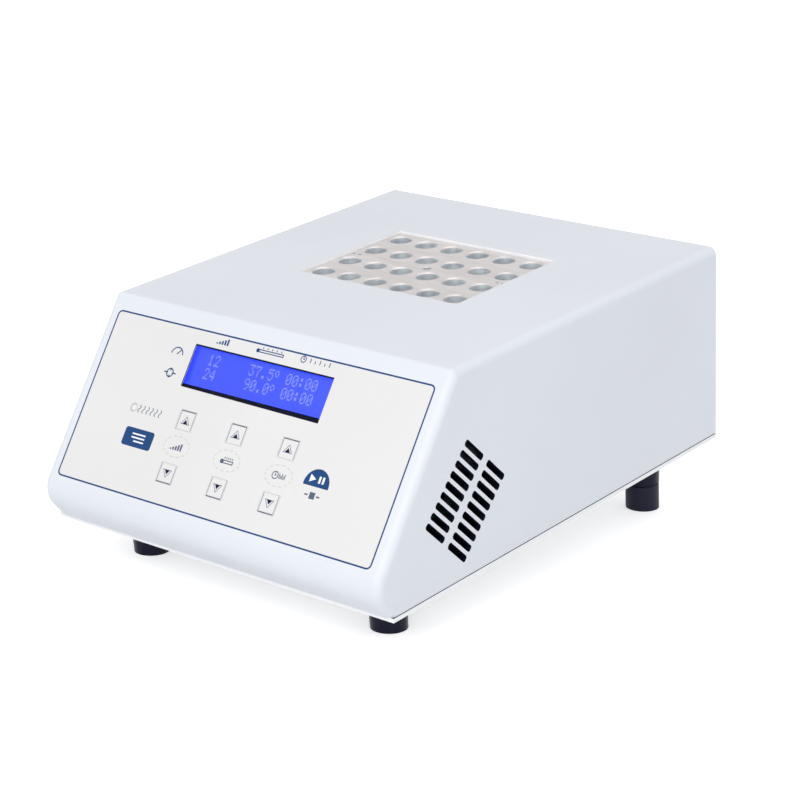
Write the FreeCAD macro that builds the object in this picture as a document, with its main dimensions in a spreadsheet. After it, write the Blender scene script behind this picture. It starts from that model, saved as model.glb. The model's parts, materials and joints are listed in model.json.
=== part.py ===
"""Dry bath incubator: a bench heater with a lift-out block for 24 sample tubes.

The case frame has X to the right, Y to the back and Z square to the base plate, with its
origin in the middle of the cover's lower front edge. The whole case leans forward on its
taller rear feet, and the model's own frame is level, with the feet on Z = 0.
"""
import FreeCAD, Part
import math
import os
import Sketcher

# Casing
SIZES = {
    "cover_width": 202.0,
    "cover_height": 95.4,
    "cover_depth": 249.7,
    "top_front": 48.5,
    "slope_angle": 53.8,
    "tuck_angle": 52.0,
    "roll_radius": 12.0,
    "side_edge_radius": 4.0,
    "front_edge_radius": 1.8,
    "cover_wall": 3.0,
    "plate_thickness": 2.0,
    "plate_front_gap": 1.0,
    "shadow_gap": 0.5,
    "rear_panel_inset": 1.5,
    "rear_panel_thickness": 2.0,
    "panel_clearance": 0.3,
    "floor_vent_length": 28.4,
    "floor_vent_rows": 5,
    "rear_vent_low": 21.0,
    "rear_vent_length": 42.6,
}

# Stance
SIZES.update({
    "foot_height": 21.8,
    "foot_diameter": 17.0,
    "riser_diameter": 16.4,
    "foot_side_inset": 28.2,
    "foot_front_inset": 30.4,
    "foot_rear_inset": 23.0,
    "riser_height": 14.0,
})

# Side vents: two columns of slanted slots
SIZES.update({
    "vent_first_y": 25.0,
    "vent_first_z": 33.5,
    "vent_slope": 45.0,
    "vent_length": 15.8,
    "vent_width": 3.2,
    "vent_corner": 0.8,
    "vent_pitch": 5.0,
    "vent_rows": 9,
    "vent_column_step": 20.0,
    "vent_columns": 2,
})

# Heating block and the well that it stands in
SIZES.update({
    "block_length": 94.1,
    "block_breadth": 75.3,
    "block_height": 50.0,
    "block_sink": 1.2,
    "block_centre": 155.0,
    "block_clearance": 0.4,
    "well_columns": 6,
    "well_rows": 4,
    "well_pitch_across": 15.9,
    "well_pitch_back": 19.3,
    "well_diameter": 11.0,
    "well_depth": 37.0,
    "puller_hole_diameter": 4.2,
    "puller_hole_depth": 16.0,
    "probe_hole_diameter": 1.8,
    "probe_hole_pitch": 3.4,
    "probe_hole_inset": 1.8,
    "probe_hole_depth": 8.0,
    "liner_wall": 2.0,
    "liner_floor": 5.0,
    "gasket_thickness": 2.0,
    "gasket_width": 6.0,
    "heater_thickness": 1.5,
    "clamp_thickness": 2.0,
    "jacket_thickness": 9.0,
    "jacket_gap": 0.3,
    "jacket_floor": 8.0,
    "spacer_size": 8.0,
    "spacer_across": 36.0,
    "spacer_back": 26.0,
    "cutout_diameter": 15.0,
    "cutout_height": 6.0,
    "sensor_diameter": 3.0,
    "sensor_length": 34.0,
    "sensor_clearance": 0.05,
    "sensor_left": 10.0,
    "lead_notch_width": 36.0,
})

# Front panel, measured down the slope from the top front edge
SIZES.update({
    "overlay_width": 189.0,
    "overlay_top": 7.9,
    "overlay_height": 82.4,
    "overlay_corner": 2.2,
    "overlay_thickness": 0.5,
    "window_width": 82.4,
    "window_top": 15.7,
    "window_height": 19.5,
    "pane_thickness": 1.0,
    "pane_length": 98.0,
    "pane_breadth": 27.0,
    "pane_clearance": 0.3,
    "bezel_face": 0.6,
    "sight_length": 88.0,
    "sight_top": 15.1,
    "sight_height": 18.8,
    "glass_thickness": 2.8,
    "display_board_depth": 8.0,
    "display_board_length": 116.0,
    "display_board_breadth": 37.0,
    "keypad_board_depth": 8.5,
    "keypad_board_length": 150.0,
    "keypad_board_top": 45.8,
    "keypad_board_breadth": 43.0,
    "board_thickness": 1.6,
    "key_pitch": 30.8,
    "up_key_down": 50.3,
    "down_key_down": 75.5,
    "arrow_key_width": 9.6,
    "arrow_key_height": 9.0,
    "program_key_left": 54.6,
    "program_key_down": 63.9,
    "program_key_width": 17.8,
    "program_key_height": 8.4,
    "key_corner": 1.2,
    "start_key_right": 51.8,
    "start_key_down": 62.1,
    "start_key_radius": 6.9,
    "start_key_chord": 0.7,
    "key_gap": 0.15,
    "key_flange": 0.8,
    "key_flange_overhang": 1.0,
    "key_travel": 0.4,
    "key_rest_gap": 0.05,
    "key_stem_size": 4.0,
    "key_guide_gap": 0.4,
    "key_stem_end": 4.6,
    "switch_size": 6.0,
    "switch_button_size": 3.4,
    "switch_button_height": 0.6,
    "lamp_left": 63.7,
    "lamp_down": 50.6,
    "lamp_diameter": 3.0,
    "lamp_gap": 0.2,
    "panel_boss_size": 5.0,
    "stake_size": 2.4,
    "stake_gap": 0.15,
    "stake_end": 0.8,
})

# Control board and the parts on it
SIZES.update({
    "control_board_length": 124.0,
    "control_board_breadth": 54.0,
    "control_board_centre": 71.0,
    "standoff_height": 8.0,
    "standoff_size": 6.0,
    "standoff_inset": 4.5,
    "transformer_length": 40.0,
    "transformer_breadth": 33.0,
    "transformer_height": 31.0,
    "transformer_left": 34.0,
    "coil_overhang": 4.5,
    "heat_sink_length": 38.0,
    "heat_sink_breadth": 14.0,
    "heat_sink_height": 30.0,
    "heat_sink_right": 34.0,
    "heat_sink_web": 3.0,
    "fin_thickness": 1.6,
    "fin_count": 7,
    "triac_width": 10.0,
    "triac_thickness": 4.4,
    "triac_height": 15.0,
    "triac_leg_size": 0.8,
    "triac_leg_pitch": 2.5,
    "triac_leg_height": 4.0,
    "capacitor_diameter": 13.0,
    "capacitor_height": 22.0,
    "capacitor_right": 4.0,
    "terminal_length": 35.0,
    "terminal_breadth": 9.0,
    "terminal_height": 11.0,
})

# Rear fittings
SIZES.update({
    "inlet_left": 52.0,
    "inlet_up": 42.0,
    "inlet_flange_width": 31.0,
    "inlet_flange_height": 50.0,
    "inlet_flange_thickness": 2.5,
    "inlet_body_width": 27.0,
    "inlet_body_height": 46.0,
    "inlet_body_depth": 26.0,
    "fit_clearance": 0.2,
    "socket_width": 24.4,
    "socket_height": 16.6,
    "socket_depth": 17.0,
    "socket_up": 11.0,
    "socket_corner": 4.5,
    "pin_width": 2.0,
    "pin_height": 4.0,
    "pin_spread": 7.0,
    "pin_drop": 2.0,
    "earth_pin_rise": 2.0,
    "pin_reach": 14.0,
    "tab_reach": 7.0,
    "drawer_width": 22.0,
    "drawer_height": 9.0,
    "drawer_depth": 23.0,
    "drawer_down": 11.0,
    "drawer_lip": 1.2,
    "drawer_lip_thickness": 1.5,
    "drawer_gap": 0.25,
    "drawer_travel": 24.0,
    "fuse_diameter": 5.2,
    "fuse_length": 20.0,
    "fuse_cap_length": 5.0,
    "fuse_glass_diameter": 4.8,
    "power_switch_left": 10.0,
    "power_switch_up": 42.0,
    "power_switch_width": 15.0,
    "power_switch_height": 21.0,
    "power_switch_flange": 1.5,
    "power_switch_body_width": 12.6,
    "power_switch_body_height": 18.8,
    "power_switch_body_depth": 16.0,
    "rocker_width": 9.6,
    "rocker_length": 14.0,
    "rocker_rise": 3.0,
    "rocker_dish": 1.0,
    "rocker_belly": 3.5,
    "rocker_belly_reach": 4.0,
    "rocker_tilt": 9.0,
    "rocker_room": 5.0,
    "rocker_gap": 0.5,
    "switch_tab_spread": 3.2,
    "switch_tab_rise": 5.0,
    "switch_tab_size": 1.6,
})

# Fasteners
SIZES.update({
    "screw_diameter": 3.0,
    "screw_clearance": 0.2,
    "screw_head_size": 5.6,
    "screw_head_height": 2.2,
    "case_screw_length": 12.0,
    "rear_screw_length": 8.0,
    "well_screw_length": 15.5,
    "riser_screw_length": 14.0,
    "riser_screw_in_foot": 6.0,
    "stud_in_foot": 12.0,
    "stud_end": 1.0,
    "foot_nut_size": 7.0,
    "foot_nut_height": 3.0,
    "case_boss_width": 8.0,
    "case_boss_height": 16.0,
    "case_boss_front": 78.0,
    "case_boss_rear": 212.0,
    "rear_boss_size": 9.0,
    "rear_boss_depth": 12.0,
    "rear_boss_low": 8.0,
})

FORMULAS = {}
HEXAGON_SIDE = 1 / math.sqrt(3)
CHECK_TOLERANCE = 1e-6

doc = FreeCAD.newDocument("dry_bath_incubator")
sheet = doc.addObject("Spreadsheet::Sheet", "Sizes")
worked_out = doc.addObject("Spreadsheet::Sheet", "WorkedOut")
nodes = []


class Size:
    """A size of the sheet, or sums on such sizes: its number and the matching expression."""

    def __init__(self, text, value):
        self.text = text
        self.value = value

    def joined(self, sign, other, result):
        return Size(f"({self.text} {sign} {other.text})", result)

    def __add__(self, other):
        other = size_of(other)
        return self.joined("+", other, self.value + other.value)

    def __sub__(self, other):
        other = size_of(other)
        return self.joined("-", other, self.value - other.value)

    def __mul__(self, other):
        other = size_of(other)
        return self.joined("*", other, self.value * other.value)

    def __truediv__(self, other):
        other = size_of(other)
        return self.joined("/", other, self.value / other.value)

    def __radd__(self, other):
        return size_of(other) + self

    def __rsub__(self, other):
        return size_of(other) - self

    def __rmul__(self, other):
        return size_of(other) * self

    def __rtruediv__(self, other):
        return size_of(other) / self

    def __neg__(self):
        return size_of(0) - self


def size_of(number):
    """Plain numbers and sizes alike, as a size."""
    if isinstance(number, Size):
        return number
    return Size(f"{number}", float(number))


def sine(angle):
    return Size(f"sin({angle.text})", math.sin(math.radians(angle.value)))


def cosine(angle):
    return Size(f"cos({angle.text})", math.cos(math.radians(angle.value)))


def tangent(angle):
    return Size(f"tan({angle.text})", math.tan(math.radians(angle.value)))


class Sheet:
    """The driving sizes by name, as sheet.cover_width."""

    def __getattr__(self, name):
        return Size(f"Sizes.{name}", float(SIZES[name]))


def fill_driving_sheet():
    for row, (name, value) in enumerate(SIZES.items(), start=1):
        sheet.set(f"A{row}", name)
        sheet.set(f"B{row}", str(value))
        sheet.setAlias(f"B{row}", name)
    doc.recompute()


def kept(name, size):
    """Keeps a size that is worked out from others in the second sheet, under its own name."""
    row = len(FORMULAS) + 1
    FORMULAS[name] = size.text
    worked_out.set(f"A{row}", name)
    worked_out.set(f"B{row}", f"={size.text}")
    worked_out.setAlias(f"B{row}", name)
    return Size(f"WorkedOut.{name}", size.value)


fill_driving_sheet()
s = Sheet()

# Outline of the case, in its side view
slope_run = 1 / tangent(s.slope_angle)
tuck_run = 1 / tangent(s.tuck_angle)
nose_z = kept("nose_z", (s.cover_height * slope_run - s.top_front) / (slope_run + tuck_run))
nose_y = kept("nose_y", -nose_z * tuck_run)
tuck_shift = kept("tuck_shift", s.cover_wall / sine(s.tuck_angle))
slope_shift = kept("slope_shift", s.cover_wall / sine(s.slope_angle))
inner_nose_z = kept("inner_nose_z", nose_z + (tuck_shift - slope_shift) / (slope_run + tuck_run))
inner_nose_y = kept("inner_nose_y", tuck_shift - inner_nose_z * tuck_run)
inner_top = kept("inner_top", s.cover_height - s.cover_wall)
inner_half_width = kept("inner_half_width", s.cover_width / 2 - s.cover_wall)
rear_face = kept("rear_face", s.cover_depth - s.rear_panel_inset)
rear_panel_front = kept("rear_panel_front", rear_face - s.rear_panel_thickness)

# Lean of the case and the table under it
foot_x = kept("foot_x", s.cover_width / 2 - s.foot_side_inset)
rear_foot_y = kept("rear_foot_y", s.cover_depth - s.foot_rear_inset)
lean_slope = kept("lean_slope", s.riser_height / (rear_foot_y - s.foot_front_inset))
lean = kept("lean", Size(f"atan({lean_slope.text}) / 1 deg", math.degrees(math.atan(lean_slope.value))))
table_drop = kept(
    "table_drop", s.plate_thickness + s.foot_height - s.foot_diameter / 2 * lean_slope
)
roll_reach = kept("roll_reach", s.roll_radius / sine((s.slope_angle + s.tuck_angle) / 2))
roll_turn = (s.slope_angle - s.tuck_angle) / 2
roll_y = kept("roll_y", nose_y + roll_reach * cosine(roll_turn))
roll_z = kept("roll_z", nose_z + roll_reach * sine(roll_turn))
front_reach = kept("front_reach", cosine(lean) * roll_y - sine(lean) * roll_z - s.roll_radius)
rear_reach = kept("rear_reach", cosine(lean) * s.cover_depth + sine(lean) * s.plate_thickness)
case_y = kept("case_y", -(front_reach + rear_reach) / 2)
case_z = kept("case_z", cosine(lean) * table_drop - sine(lean) * s.foot_front_inset)

# Levels of the heating stack
block_top = kept("block_top", s.cover_height - s.block_sink)
block_bottom = kept("block_bottom", block_top - s.block_height)
pocket_length = kept("pocket_length", s.block_length + 2 * s.block_clearance)
pocket_breadth = kept("pocket_breadth", s.block_breadth + 2 * s.block_clearance)
liner_length = kept("liner_length", pocket_length + 2 * s.liner_wall)
liner_breadth = kept("liner_breadth", pocket_breadth + 2 * s.liner_wall)
liner_top = kept("liner_top", inner_top - s.gasket_thickness)
liner_bottom = kept("liner_bottom", block_bottom - s.liner_floor)
heater_bottom = kept("heater_bottom", liner_bottom - s.heater_thickness)
clamp_bottom = kept("clamp_bottom", heater_bottom - s.clamp_thickness)
jacket_room_length = kept("jacket_room_length", liner_length + 2 * s.jacket_gap)
jacket_room_breadth = kept("jacket_room_breadth", liner_breadth + 2 * s.jacket_gap)
cutout_bottom = kept("cutout_bottom", clamp_bottom - s.cutout_height)

# Levels behind the front panel, as depths below its face
overlay_middle = kept("overlay_middle", s.overlay_top + s.overlay_height / 2)
bezel_depth = kept("bezel_depth", s.overlay_thickness + s.pane_thickness)
glass_depth = kept("glass_depth", bezel_depth + s.bezel_face)
flange_end = kept("flange_end", s.overlay_thickness + s.key_flange)
seat_depth = kept("seat_depth", flange_end + s.key_travel + s.key_rest_gap)
button_depth = kept("button_depth", s.key_stem_end + s.key_travel + s.key_rest_gap)
switch_depth = kept("switch_depth", button_depth + s.switch_button_height)
display_middle = kept("display_middle", s.sight_top + s.sight_height / 2)

# Levels of the control board and of the feet
board_top = kept("board_top", s.standoff_height + s.board_thickness)
board_front = kept("board_front", s.control_board_centre - s.control_board_breadth / 2)
board_rear = kept("board_rear", s.control_board_centre + s.control_board_breadth / 2)
foot_bottom = kept("foot_bottom", -s.plate_thickness - s.foot_height)
riser_screw_reach = s.riser_screw_length - s.riser_screw_in_foot
riser_screw_seat = kept("riser_screw_seat", foot_bottom - riser_screw_reach)
half_width = kept("half_width", s.cover_width / 2)
shank_hole = kept("shank_hole", s.screw_diameter + 2 * s.screw_clearance)


def place(x, y, z, axis=(1, 0, 0), angle=0):
    """The expression of a placement."""
    x, y, z, angle = (size_of(part) for part in (x, y, z, angle))
    turn_axis = "; ".join(str(part) for part in axis)
    return (
        f"create(<<placement>>; create(<<vector>>; {x.text}; {y.text}; {z.text}); "
        f"create(<<rotation>>; create(<<vector>>; {turn_axis}); {angle.text}))"
    )


CASE = place(0, case_y, case_z, angle=lean)
PANEL = f"{CASE} * {place(0, s.top_front, s.cover_height, angle=s.slope_angle)}"
REAR = f"{CASE} * {place(0, rear_face, 0, axis=(0, 1, 1), angle=180)}"


def new_body(name, frame=CASE):
    """A sub-part made of features, named and placed in one of the frames above."""
    body = doc.addObject("PartDesign::Body", name)
    body.Label = name
    body.setExpression("Placement", frame)
    nodes.append(body)
    return body


def new_sketch(body, role="XY_Plane", height=0, tilt=None):
    """A sketch on one of the body's own origin planes, raised or tilted by expressions."""
    sketch = body.newObject("Sketcher::SketchObject", f"{body.Name}_sketch")
    plane = next(f for f in body.Origin.OriginFeatures if f.Role == role)
    sketch.AttachmentSupport = [(plane, "")]
    sketch.MapMode = "FlatFace"
    if tilt is None:
        sketch.setExpression("AttachmentOffset.Base.z", size_of(height).text)
    else:
        sketch.setExpression("AttachmentOffset", tilt)
    return sketch


def panel_sketch(body, depth):
    """A sketch in the case frame that lies parallel to the front panel, at a depth under it."""
    y = s.top_front + depth * sine(s.slope_angle)
    z = s.cover_height - depth * cosine(s.slope_angle)
    return new_sketch(body, tilt=place(0, y, z, angle=s.slope_angle))


def constrain(sketch, kind, *refs, size=None):
    """Adds one constraint, bound to its size where it has one."""
    if size is None:
        return sketch.addConstraint(Sketcher.Constraint(kind, *refs))
    index = sketch.addConstraint(Sketcher.Constraint(kind, *refs, size.value))
    sketch.setExpression(f"Constraints[{index}]", size.text)
    return index


def pin_point(sketch, edge, point, x, y):
    """Holds a point of the sketch at a place measured from the sketch's origin."""
    constrain(sketch, "DistanceX", -1, 1, edge, point, size=size_of(x))
    constrain(sketch, "DistanceY", -1, 1, edge, point, size=size_of(y))


def vector(x, y, z=0):
    return FreeCAD.Vector(*(size_of(part).value for part in (x, y, z)))


def polygon(sketch, corners):
    """A closed outline of straight edges with every corner pinned."""
    first = sketch.GeometryCount
    count = len(corners)
    for number, (x, y) in enumerate(corners):
        next_x, next_y = corners[(number + 1) % count]
        sketch.addGeometry(Part.LineSegment(vector(x, y), vector(next_x, next_y)), False)
    for number, (x, y) in enumerate(corners):
        constrain(sketch, "Coincident", first + number, 1, first + (number - 1) % count, 2)
        pin_point(sketch, first + number, 1, x, y)


def rectangle(sketch, x, y, width, height):
    """A rectangle about its centre."""
    x, y, width, height = (size_of(part) for part in (x, y, width, height))
    left, right = x - width / 2, x + width / 2
    low, high = y - height / 2, y + height / 2
    polygon(sketch, [(left, low), (right, low), (right, high), (left, high)])


def circle(sketch, x, y, diameter):
    """A circle with its centre pinned."""
    diameter = size_of(diameter)
    edge = sketch.addGeometry(Part.Circle(vector(x, y), vector(0, 0, 1), diameter.value / 2), False)
    pin_point(sketch, edge, 3, x, y)
    constrain(sketch, "Diameter", edge, size=diameter)


def clipped_rectangle(sketch, x, y, width, height, clip):
    """A rectangle about its centre with its four corners cut off."""
    x, y, width, height, clip = (size_of(part) for part in (x, y, width, height, clip))
    left, right = x - width / 2, x + width / 2
    low, high = y - height / 2, y + height / 2
    polygon(sketch, [
        (left + clip, low), (right - clip, low), (right, low + clip), (right, high - clip),
        (right - clip, high), (left + clip, high), (left, high - clip), (left, low + clip),
    ])


def hexagon(sketch, x, y, across):
    """A hexagon about its centre, with two of its flats upright."""
    x, y, across = (size_of(part) for part in (x, y, across))
    half = across / 2
    side = across * HEXAGON_SIDE
    polygon(sketch, [
        (x + half, y - side / 2), (x + half, y + side / 2), (x, y + side),
        (x - half, y + side / 2), (x - half, y - side / 2), (x, y - side),
    ])


def soft_rectangle(sketch, x, y, width, height, radius):
    """A rectangle about its centre with its four corners rounded."""
    x, y, width, height, radius = (size_of(part) for part in (x, y, width, height, radius))
    reach_x = width / 2 - radius
    reach_y = height / 2 - radius
    arcs = []
    for quarter, (side_x, side_y) in enumerate(((1, 1), (-1, 1), (-1, -1), (1, -1))):
        middle_x, middle_y = x + side_x * reach_x, y + side_y * reach_y
        ring = Part.Circle(vector(middle_x, middle_y), vector(0, 0, 1), radius.value)
        start = quarter * math.pi / 2
        arc = sketch.addGeometry(Part.ArcOfCircle(ring, start, start + math.pi / 2), False)
        pin_point(sketch, arc, 3, middle_x, middle_y)
        constrain(sketch, "Radius", arc, size=radius)
        ends = ("Horizontal", "Vertical") if quarter % 2 == 0 else ("Vertical", "Horizontal")
        for point, kind in enumerate(ends, start=1):
            constrain(sketch, kind, arc, point, arc, 3)
        arcs.append(arc)
    for arc, following in zip(arcs, [*arcs[1:], arcs[0]]):
        ends = (sketch.getPoint(arc, 2), sketch.getPoint(following, 1))
        side = sketch.addGeometry(Part.LineSegment(*ends), False)
        constrain(sketch, "Coincident", side, 1, arc, 2)
        constrain(sketch, "Coincident", side, 2, following, 1)


def square(sketch, x, y, side):
    rectangle(sketch, x, y, side, side)


def half_dome(sketch, x, y, radius, chord):
    """A disc whose lower part is cut off by a level chord below its centre."""
    x, y, radius, chord = (size_of(part) for part in (x, y, radius, chord))
    half = math.sqrt(radius.value ** 2 - chord.value ** 2)
    start = math.atan2(-chord.value, half)
    ring = Part.Circle(vector(x, y), vector(0, 0, 1), radius.value)
    arc = sketch.addGeometry(Part.ArcOfCircle(ring, start, math.pi - start), False)
    line = sketch.addGeometry(
        Part.LineSegment(sketch.getPoint(arc, 2), sketch.getPoint(arc, 1)), False
    )
    constrain(sketch, "Coincident", arc, 2, line, 1)
    constrain(sketch, "Coincident", line, 2, arc, 1)
    constrain(sketch, "Horizontal", line)
    pin_point(sketch, arc, 3, x, y)
    constrain(sketch, "Radius", arc, size=radius)
    constrain(sketch, "DistanceY", arc, 1, arc, 3, size=chord)


def feature(body, kind, sketch, **settings):
    """A feature of the body made from a sketch, with its sizes bound."""
    item = body.newObject(f"PartDesign::{kind}", f"{body.Name}_{kind.lower()}")
    item.Profile = sketch
    for name, value in settings.items():
        if isinstance(value, Size):
            item.setExpression(name, value.text)
        else:
            setattr(item, name, value)
    sketch.Visibility = False
    return item


def pad(body, sketch, length, **settings):
    return feature(body, "Pad", sketch, Length=size_of(length), **settings)


def pocket(body, sketch, length, **settings):
    return feature(body, "Pocket", sketch, Length=size_of(length), **settings)


def through(body, sketch, **settings):
    """A pocket right through the body, both ways."""
    return feature(body, "Pocket", sketch, Type="ThroughAll", SideType="Symmetric", **settings)


def origin_axis(body, role):
    """One of the body's own axes, as a direction for a row."""
    return next(f for f in body.Origin.OriginFeatures if f.Role == role), [""]


def round_edges(body, radius, wanted):
    """Rounds the edges of the body's last feature that the test picks."""
    doc.recompute()
    base = body.Tip
    names = []
    for number, edge in enumerate(base.Shape.Edges, start=1):
        middle = edge.valueAt((edge.FirstParameter + edge.LastParameter) / 2)
        if wanted(edge, middle):
            names.append(f"Edge{number}")
    fillet = body.newObject("PartDesign::Fillet", f"{body.Name}_fillet")
    fillet.Base = (base, names)
    fillet.setExpression("Radius", radius.text)
    return fillet


def repeat(body, base, directions):
    """Repeats a feature in rows: each direction is a sketch axis, a count and a step."""
    doc.recompute()
    rows = []
    for axis, count, step in directions:
        row = body.newObject("PartDesign::LinearPattern", f"{body.Name}_row")
        row.Direction = axis
        row.setExpression("Occurrences", count.text)
        row.setExpression("Length", (step * (count - 1)).text)
        rows.append(row)
    pattern = body.newObject("PartDesign::MultiTransform", f"{body.Name}_rows")
    pattern.Originals = [base]
    pattern.Transformations = rows
    body.Tip = pattern
    return pattern


def column(body, places, across, low, high, outline=hexagon):
    """Upright posts between two levels, one at each place."""
    sketch = new_sketch(body, height=low)
    for x, y in places:
        outline(sketch, x, y, across)
    return pad(body, sketch, size_of(high) - low)


def bored(body, places, across, top, depth, outline=hexagon):
    """Holes down from a level, one at each place."""
    sketch = new_sketch(body, height=top)
    for x, y in places:
        outline(sketch, x, y, across)
    return pocket(body, sketch, depth)


def slab(body, x, y, length, breadth, low, high):
    """A block between two levels."""
    sketch = new_sketch(body, height=low)
    rectangle(sketch, x, y, length, breadth)
    return pad(body, sketch, size_of(high) - low)


def sunk(body, x, y, length, breadth, top, depth):
    """A rectangular pocket down from a level."""
    sketch = new_sketch(body, height=top)
    rectangle(sketch, x, y, length, breadth)
    return pocket(body, sketch, depth)


def corners_of(x, y, centre_x=0, centre_y=0):
    """The four corners at plus and minus x and y about a centre."""
    return [(centre_x + sx * x, centre_y + sy * y) for sx in (-1, 1) for sy in (-1, 1)]


FOOT_ROWS = {"front": s.foot_front_inset, "rear": rear_foot_y}
FOOT_PLACES = [(x, y) for x in (-foot_x, foot_x) for y in FOOT_ROWS.values()]
REAR_FOOT_PLACES = [(x, rear_foot_y) for x in (-foot_x, foot_x)]
case_boss_x = kept("case_boss_x", inner_half_width - s.case_boss_width / 2)
CASE_SCREW_PLACES = [
    (side * case_boss_x, y) for side in (-1, 1) for y in (s.case_boss_front, s.case_boss_rear)
]
SPACER_PLACES = corners_of(s.spacer_across, s.spacer_back, 0, s.block_centre)
rear_boss_x = kept("rear_boss_x", inner_half_width - s.rear_boss_size / 2)
rear_boss_high = kept("rear_boss_high", inner_top - s.rear_boss_size / 2)
REAR_SCREW_PLACES = [
    (side * rear_boss_x, z) for side in (-1, 1) for z in (s.rear_boss_low, rear_boss_high)
]
STANDOFF_PLACES = corners_of(
    s.control_board_length / 2 - s.standoff_inset,
    s.control_board_breadth / 2 - s.standoff_inset,
    0,
    s.control_board_centre,
)
display_boss_x = kept("display_boss_x", s.display_board_length / 2 - s.panel_boss_size / 2)
display_boss_y = kept("display_boss_y", s.display_board_breadth / 2 - s.panel_boss_size / 2)
keypad_boss_x = kept("keypad_boss_x", s.keypad_board_length / 2 - s.panel_boss_size / 2)
keypad_boss_y = kept("keypad_boss_y", s.keypad_board_breadth / 2 - s.panel_boss_size / 2)
keypad_middle = kept("keypad_middle", s.keypad_board_top + s.keypad_board_breadth / 2)
DISPLAY_BOSSES = corners_of(display_boss_x, display_boss_y, 0, -display_middle)
KEYPAD_BOSSES = corners_of(keypad_boss_x, keypad_boss_y, 0, -keypad_middle)

KEY_COLUMNS = {"step": -s.key_pitch, "temperature": size_of(0), "time": s.key_pitch}
ARROW_KEYS = {
    f"key_{name}_{way}": (x, -down)
    for name, x in KEY_COLUMNS.items()
    for way, down in (("up", s.up_key_down), ("down", s.down_key_down))
}
PROGRAM_KEY = (-s.program_key_left, -s.program_key_down)
START_KEY = (s.start_key_right, -s.start_key_down)
LAMP = (-s.lamp_left, -s.lamp_down)
start_key_middle = kept("start_key_middle", (s.start_key_radius - s.start_key_chord) / 2)
KEY_BOXES = {
    **{name: (x, y, s.arrow_key_width, s.arrow_key_height) for name, (x, y) in ARROW_KEYS.items()},
    "key_program": (*PROGRAM_KEY, s.program_key_width, s.program_key_height),
    "key_start_stop": (
        START_KEY[0], START_KEY[1] + start_key_middle, 2 * s.start_key_radius,
        s.start_key_radius + s.start_key_chord,
    ),
}
KEY_STEMS = [(x, y) for x, y, _, _ in KEY_BOXES.values()]


def key_face(sketch, name, margin):
    """The outline of a key's face, grown all round by a margin."""
    margin = size_of(margin)
    x, y, width, height = KEY_BOXES[name]
    if name == "key_start_stop":
        half_dome(sketch, *START_KEY, s.start_key_radius + margin, s.start_key_chord + margin)
    elif name == "key_program":
        soft_rectangle(
            sketch, x, y, width + 2 * margin, height + 2 * margin, s.key_corner + margin
        )
    else:
        rectangle(sketch, x, y, width + 2 * margin, height + 2 * margin)


def make_top_cover():
    """One shell: sloped front, rounded roll, side walls and top, open below and behind."""
    body = new_body("top_cover")
    half = s.cover_width / 2

    outline = new_sketch(body, "YZ_Plane")
    polygon(outline, [
        (0, 0), (nose_y, nose_z), (s.top_front, s.cover_height),
        (s.cover_depth, s.cover_height), (s.cover_depth, 0),
    ])
    pad(body, outline, s.cover_width, Midplane=True)
    round_edges(
        body, s.roll_radius,
        lambda edge, m: abs(m.x) < CHECK_TOLERANCE and abs(m.y - nose_y.value) < CHECK_TOLERANCE,
    )
    round_edges(
        body, s.side_edge_radius,
        lambda edge, m: abs(abs(m.x) - half.value) < CHECK_TOLERANCE
        and m.z > CHECK_TOLERANCE
        and m.y < s.cover_depth.value - CHECK_TOLERANCE,
    )
    round_edges(
        body, s.front_edge_radius,
        lambda edge, m: abs(m.x) < CHECK_TOLERANCE
        and abs(m.y - s.top_front.value) < CHECK_TOLERANCE
        and abs(m.z - s.cover_height.value) < CHECK_TOLERANCE,
    )

    hollow = new_sketch(body, "YZ_Plane")
    below = -s.cover_wall
    below_y = tuck_shift - below * tuck_run
    behind = s.cover_depth + s.cover_wall
    inner_front = s.top_front - s.cover_wall * slope_run + slope_shift
    polygon(hollow, [
        (below_y, below), (inner_nose_y, inner_nose_z), (inner_front, inner_top),
        (behind, inner_top), (behind, below),
    ])
    pocket(body, hollow, 2 * inner_half_width, Midplane=True)
    sunk(body, 0, s.block_centre, pocket_length, pocket_breadth, s.cover_height, 2 * s.cover_wall)

    cut_front_panel(body)
    cut_side_vents(body)
    add_cover_bosses(body)
    add_board_posts(body)
    cut_shadow_line(body)


def cut_front_panel(body):
    """The recess of the film, the openings behind it and the seats of the keys."""
    recess = panel_sketch(body, 0)
    soft_rectangle(recess, 0, -overlay_middle, s.overlay_width, s.overlay_height, s.overlay_corner)
    pocket(body, recess, s.overlay_thickness)

    openings = panel_sketch(body, 0)
    rectangle(
        openings, 0, -display_middle,
        s.pane_length + 2 * s.pane_clearance, s.pane_breadth + 2 * s.pane_clearance,
    )
    circle(openings, *LAMP, s.lamp_diameter + 2 * s.lamp_gap)
    for x, y in KEY_STEMS:
        square(openings, x, y, s.key_stem_size + 2 * s.key_guide_gap)
    pocket(body, openings, 2 * s.cover_wall)

    seats = panel_sketch(body, 0)
    grow = 2 * (s.key_flange_overhang + s.key_guide_gap)
    for x, y, width, height in KEY_BOXES.values():
        rectangle(seats, x, y, width + grow, height + grow)
    pocket(body, seats, seat_depth)


def cut_side_vents(body):
    """Two columns of slanted slots through both side walls."""
    sketch = new_sketch(
        body, "YZ_Plane",
        tilt=place(s.vent_first_y, s.vent_first_z, 0, axis=(0, 0, 1), angle=-s.vent_slope),
    )
    clipped_rectangle(sketch, s.vent_length / 2, 0, s.vent_length, s.vent_width, s.vent_corner)
    first = through(body, sketch)
    repeat(body, first, [
        ((sketch, ["V_Axis"]), s.vent_rows, s.vent_pitch),
        ((sketch, ["H_Axis"]), s.vent_columns, s.vent_column_step),
    ])


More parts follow.
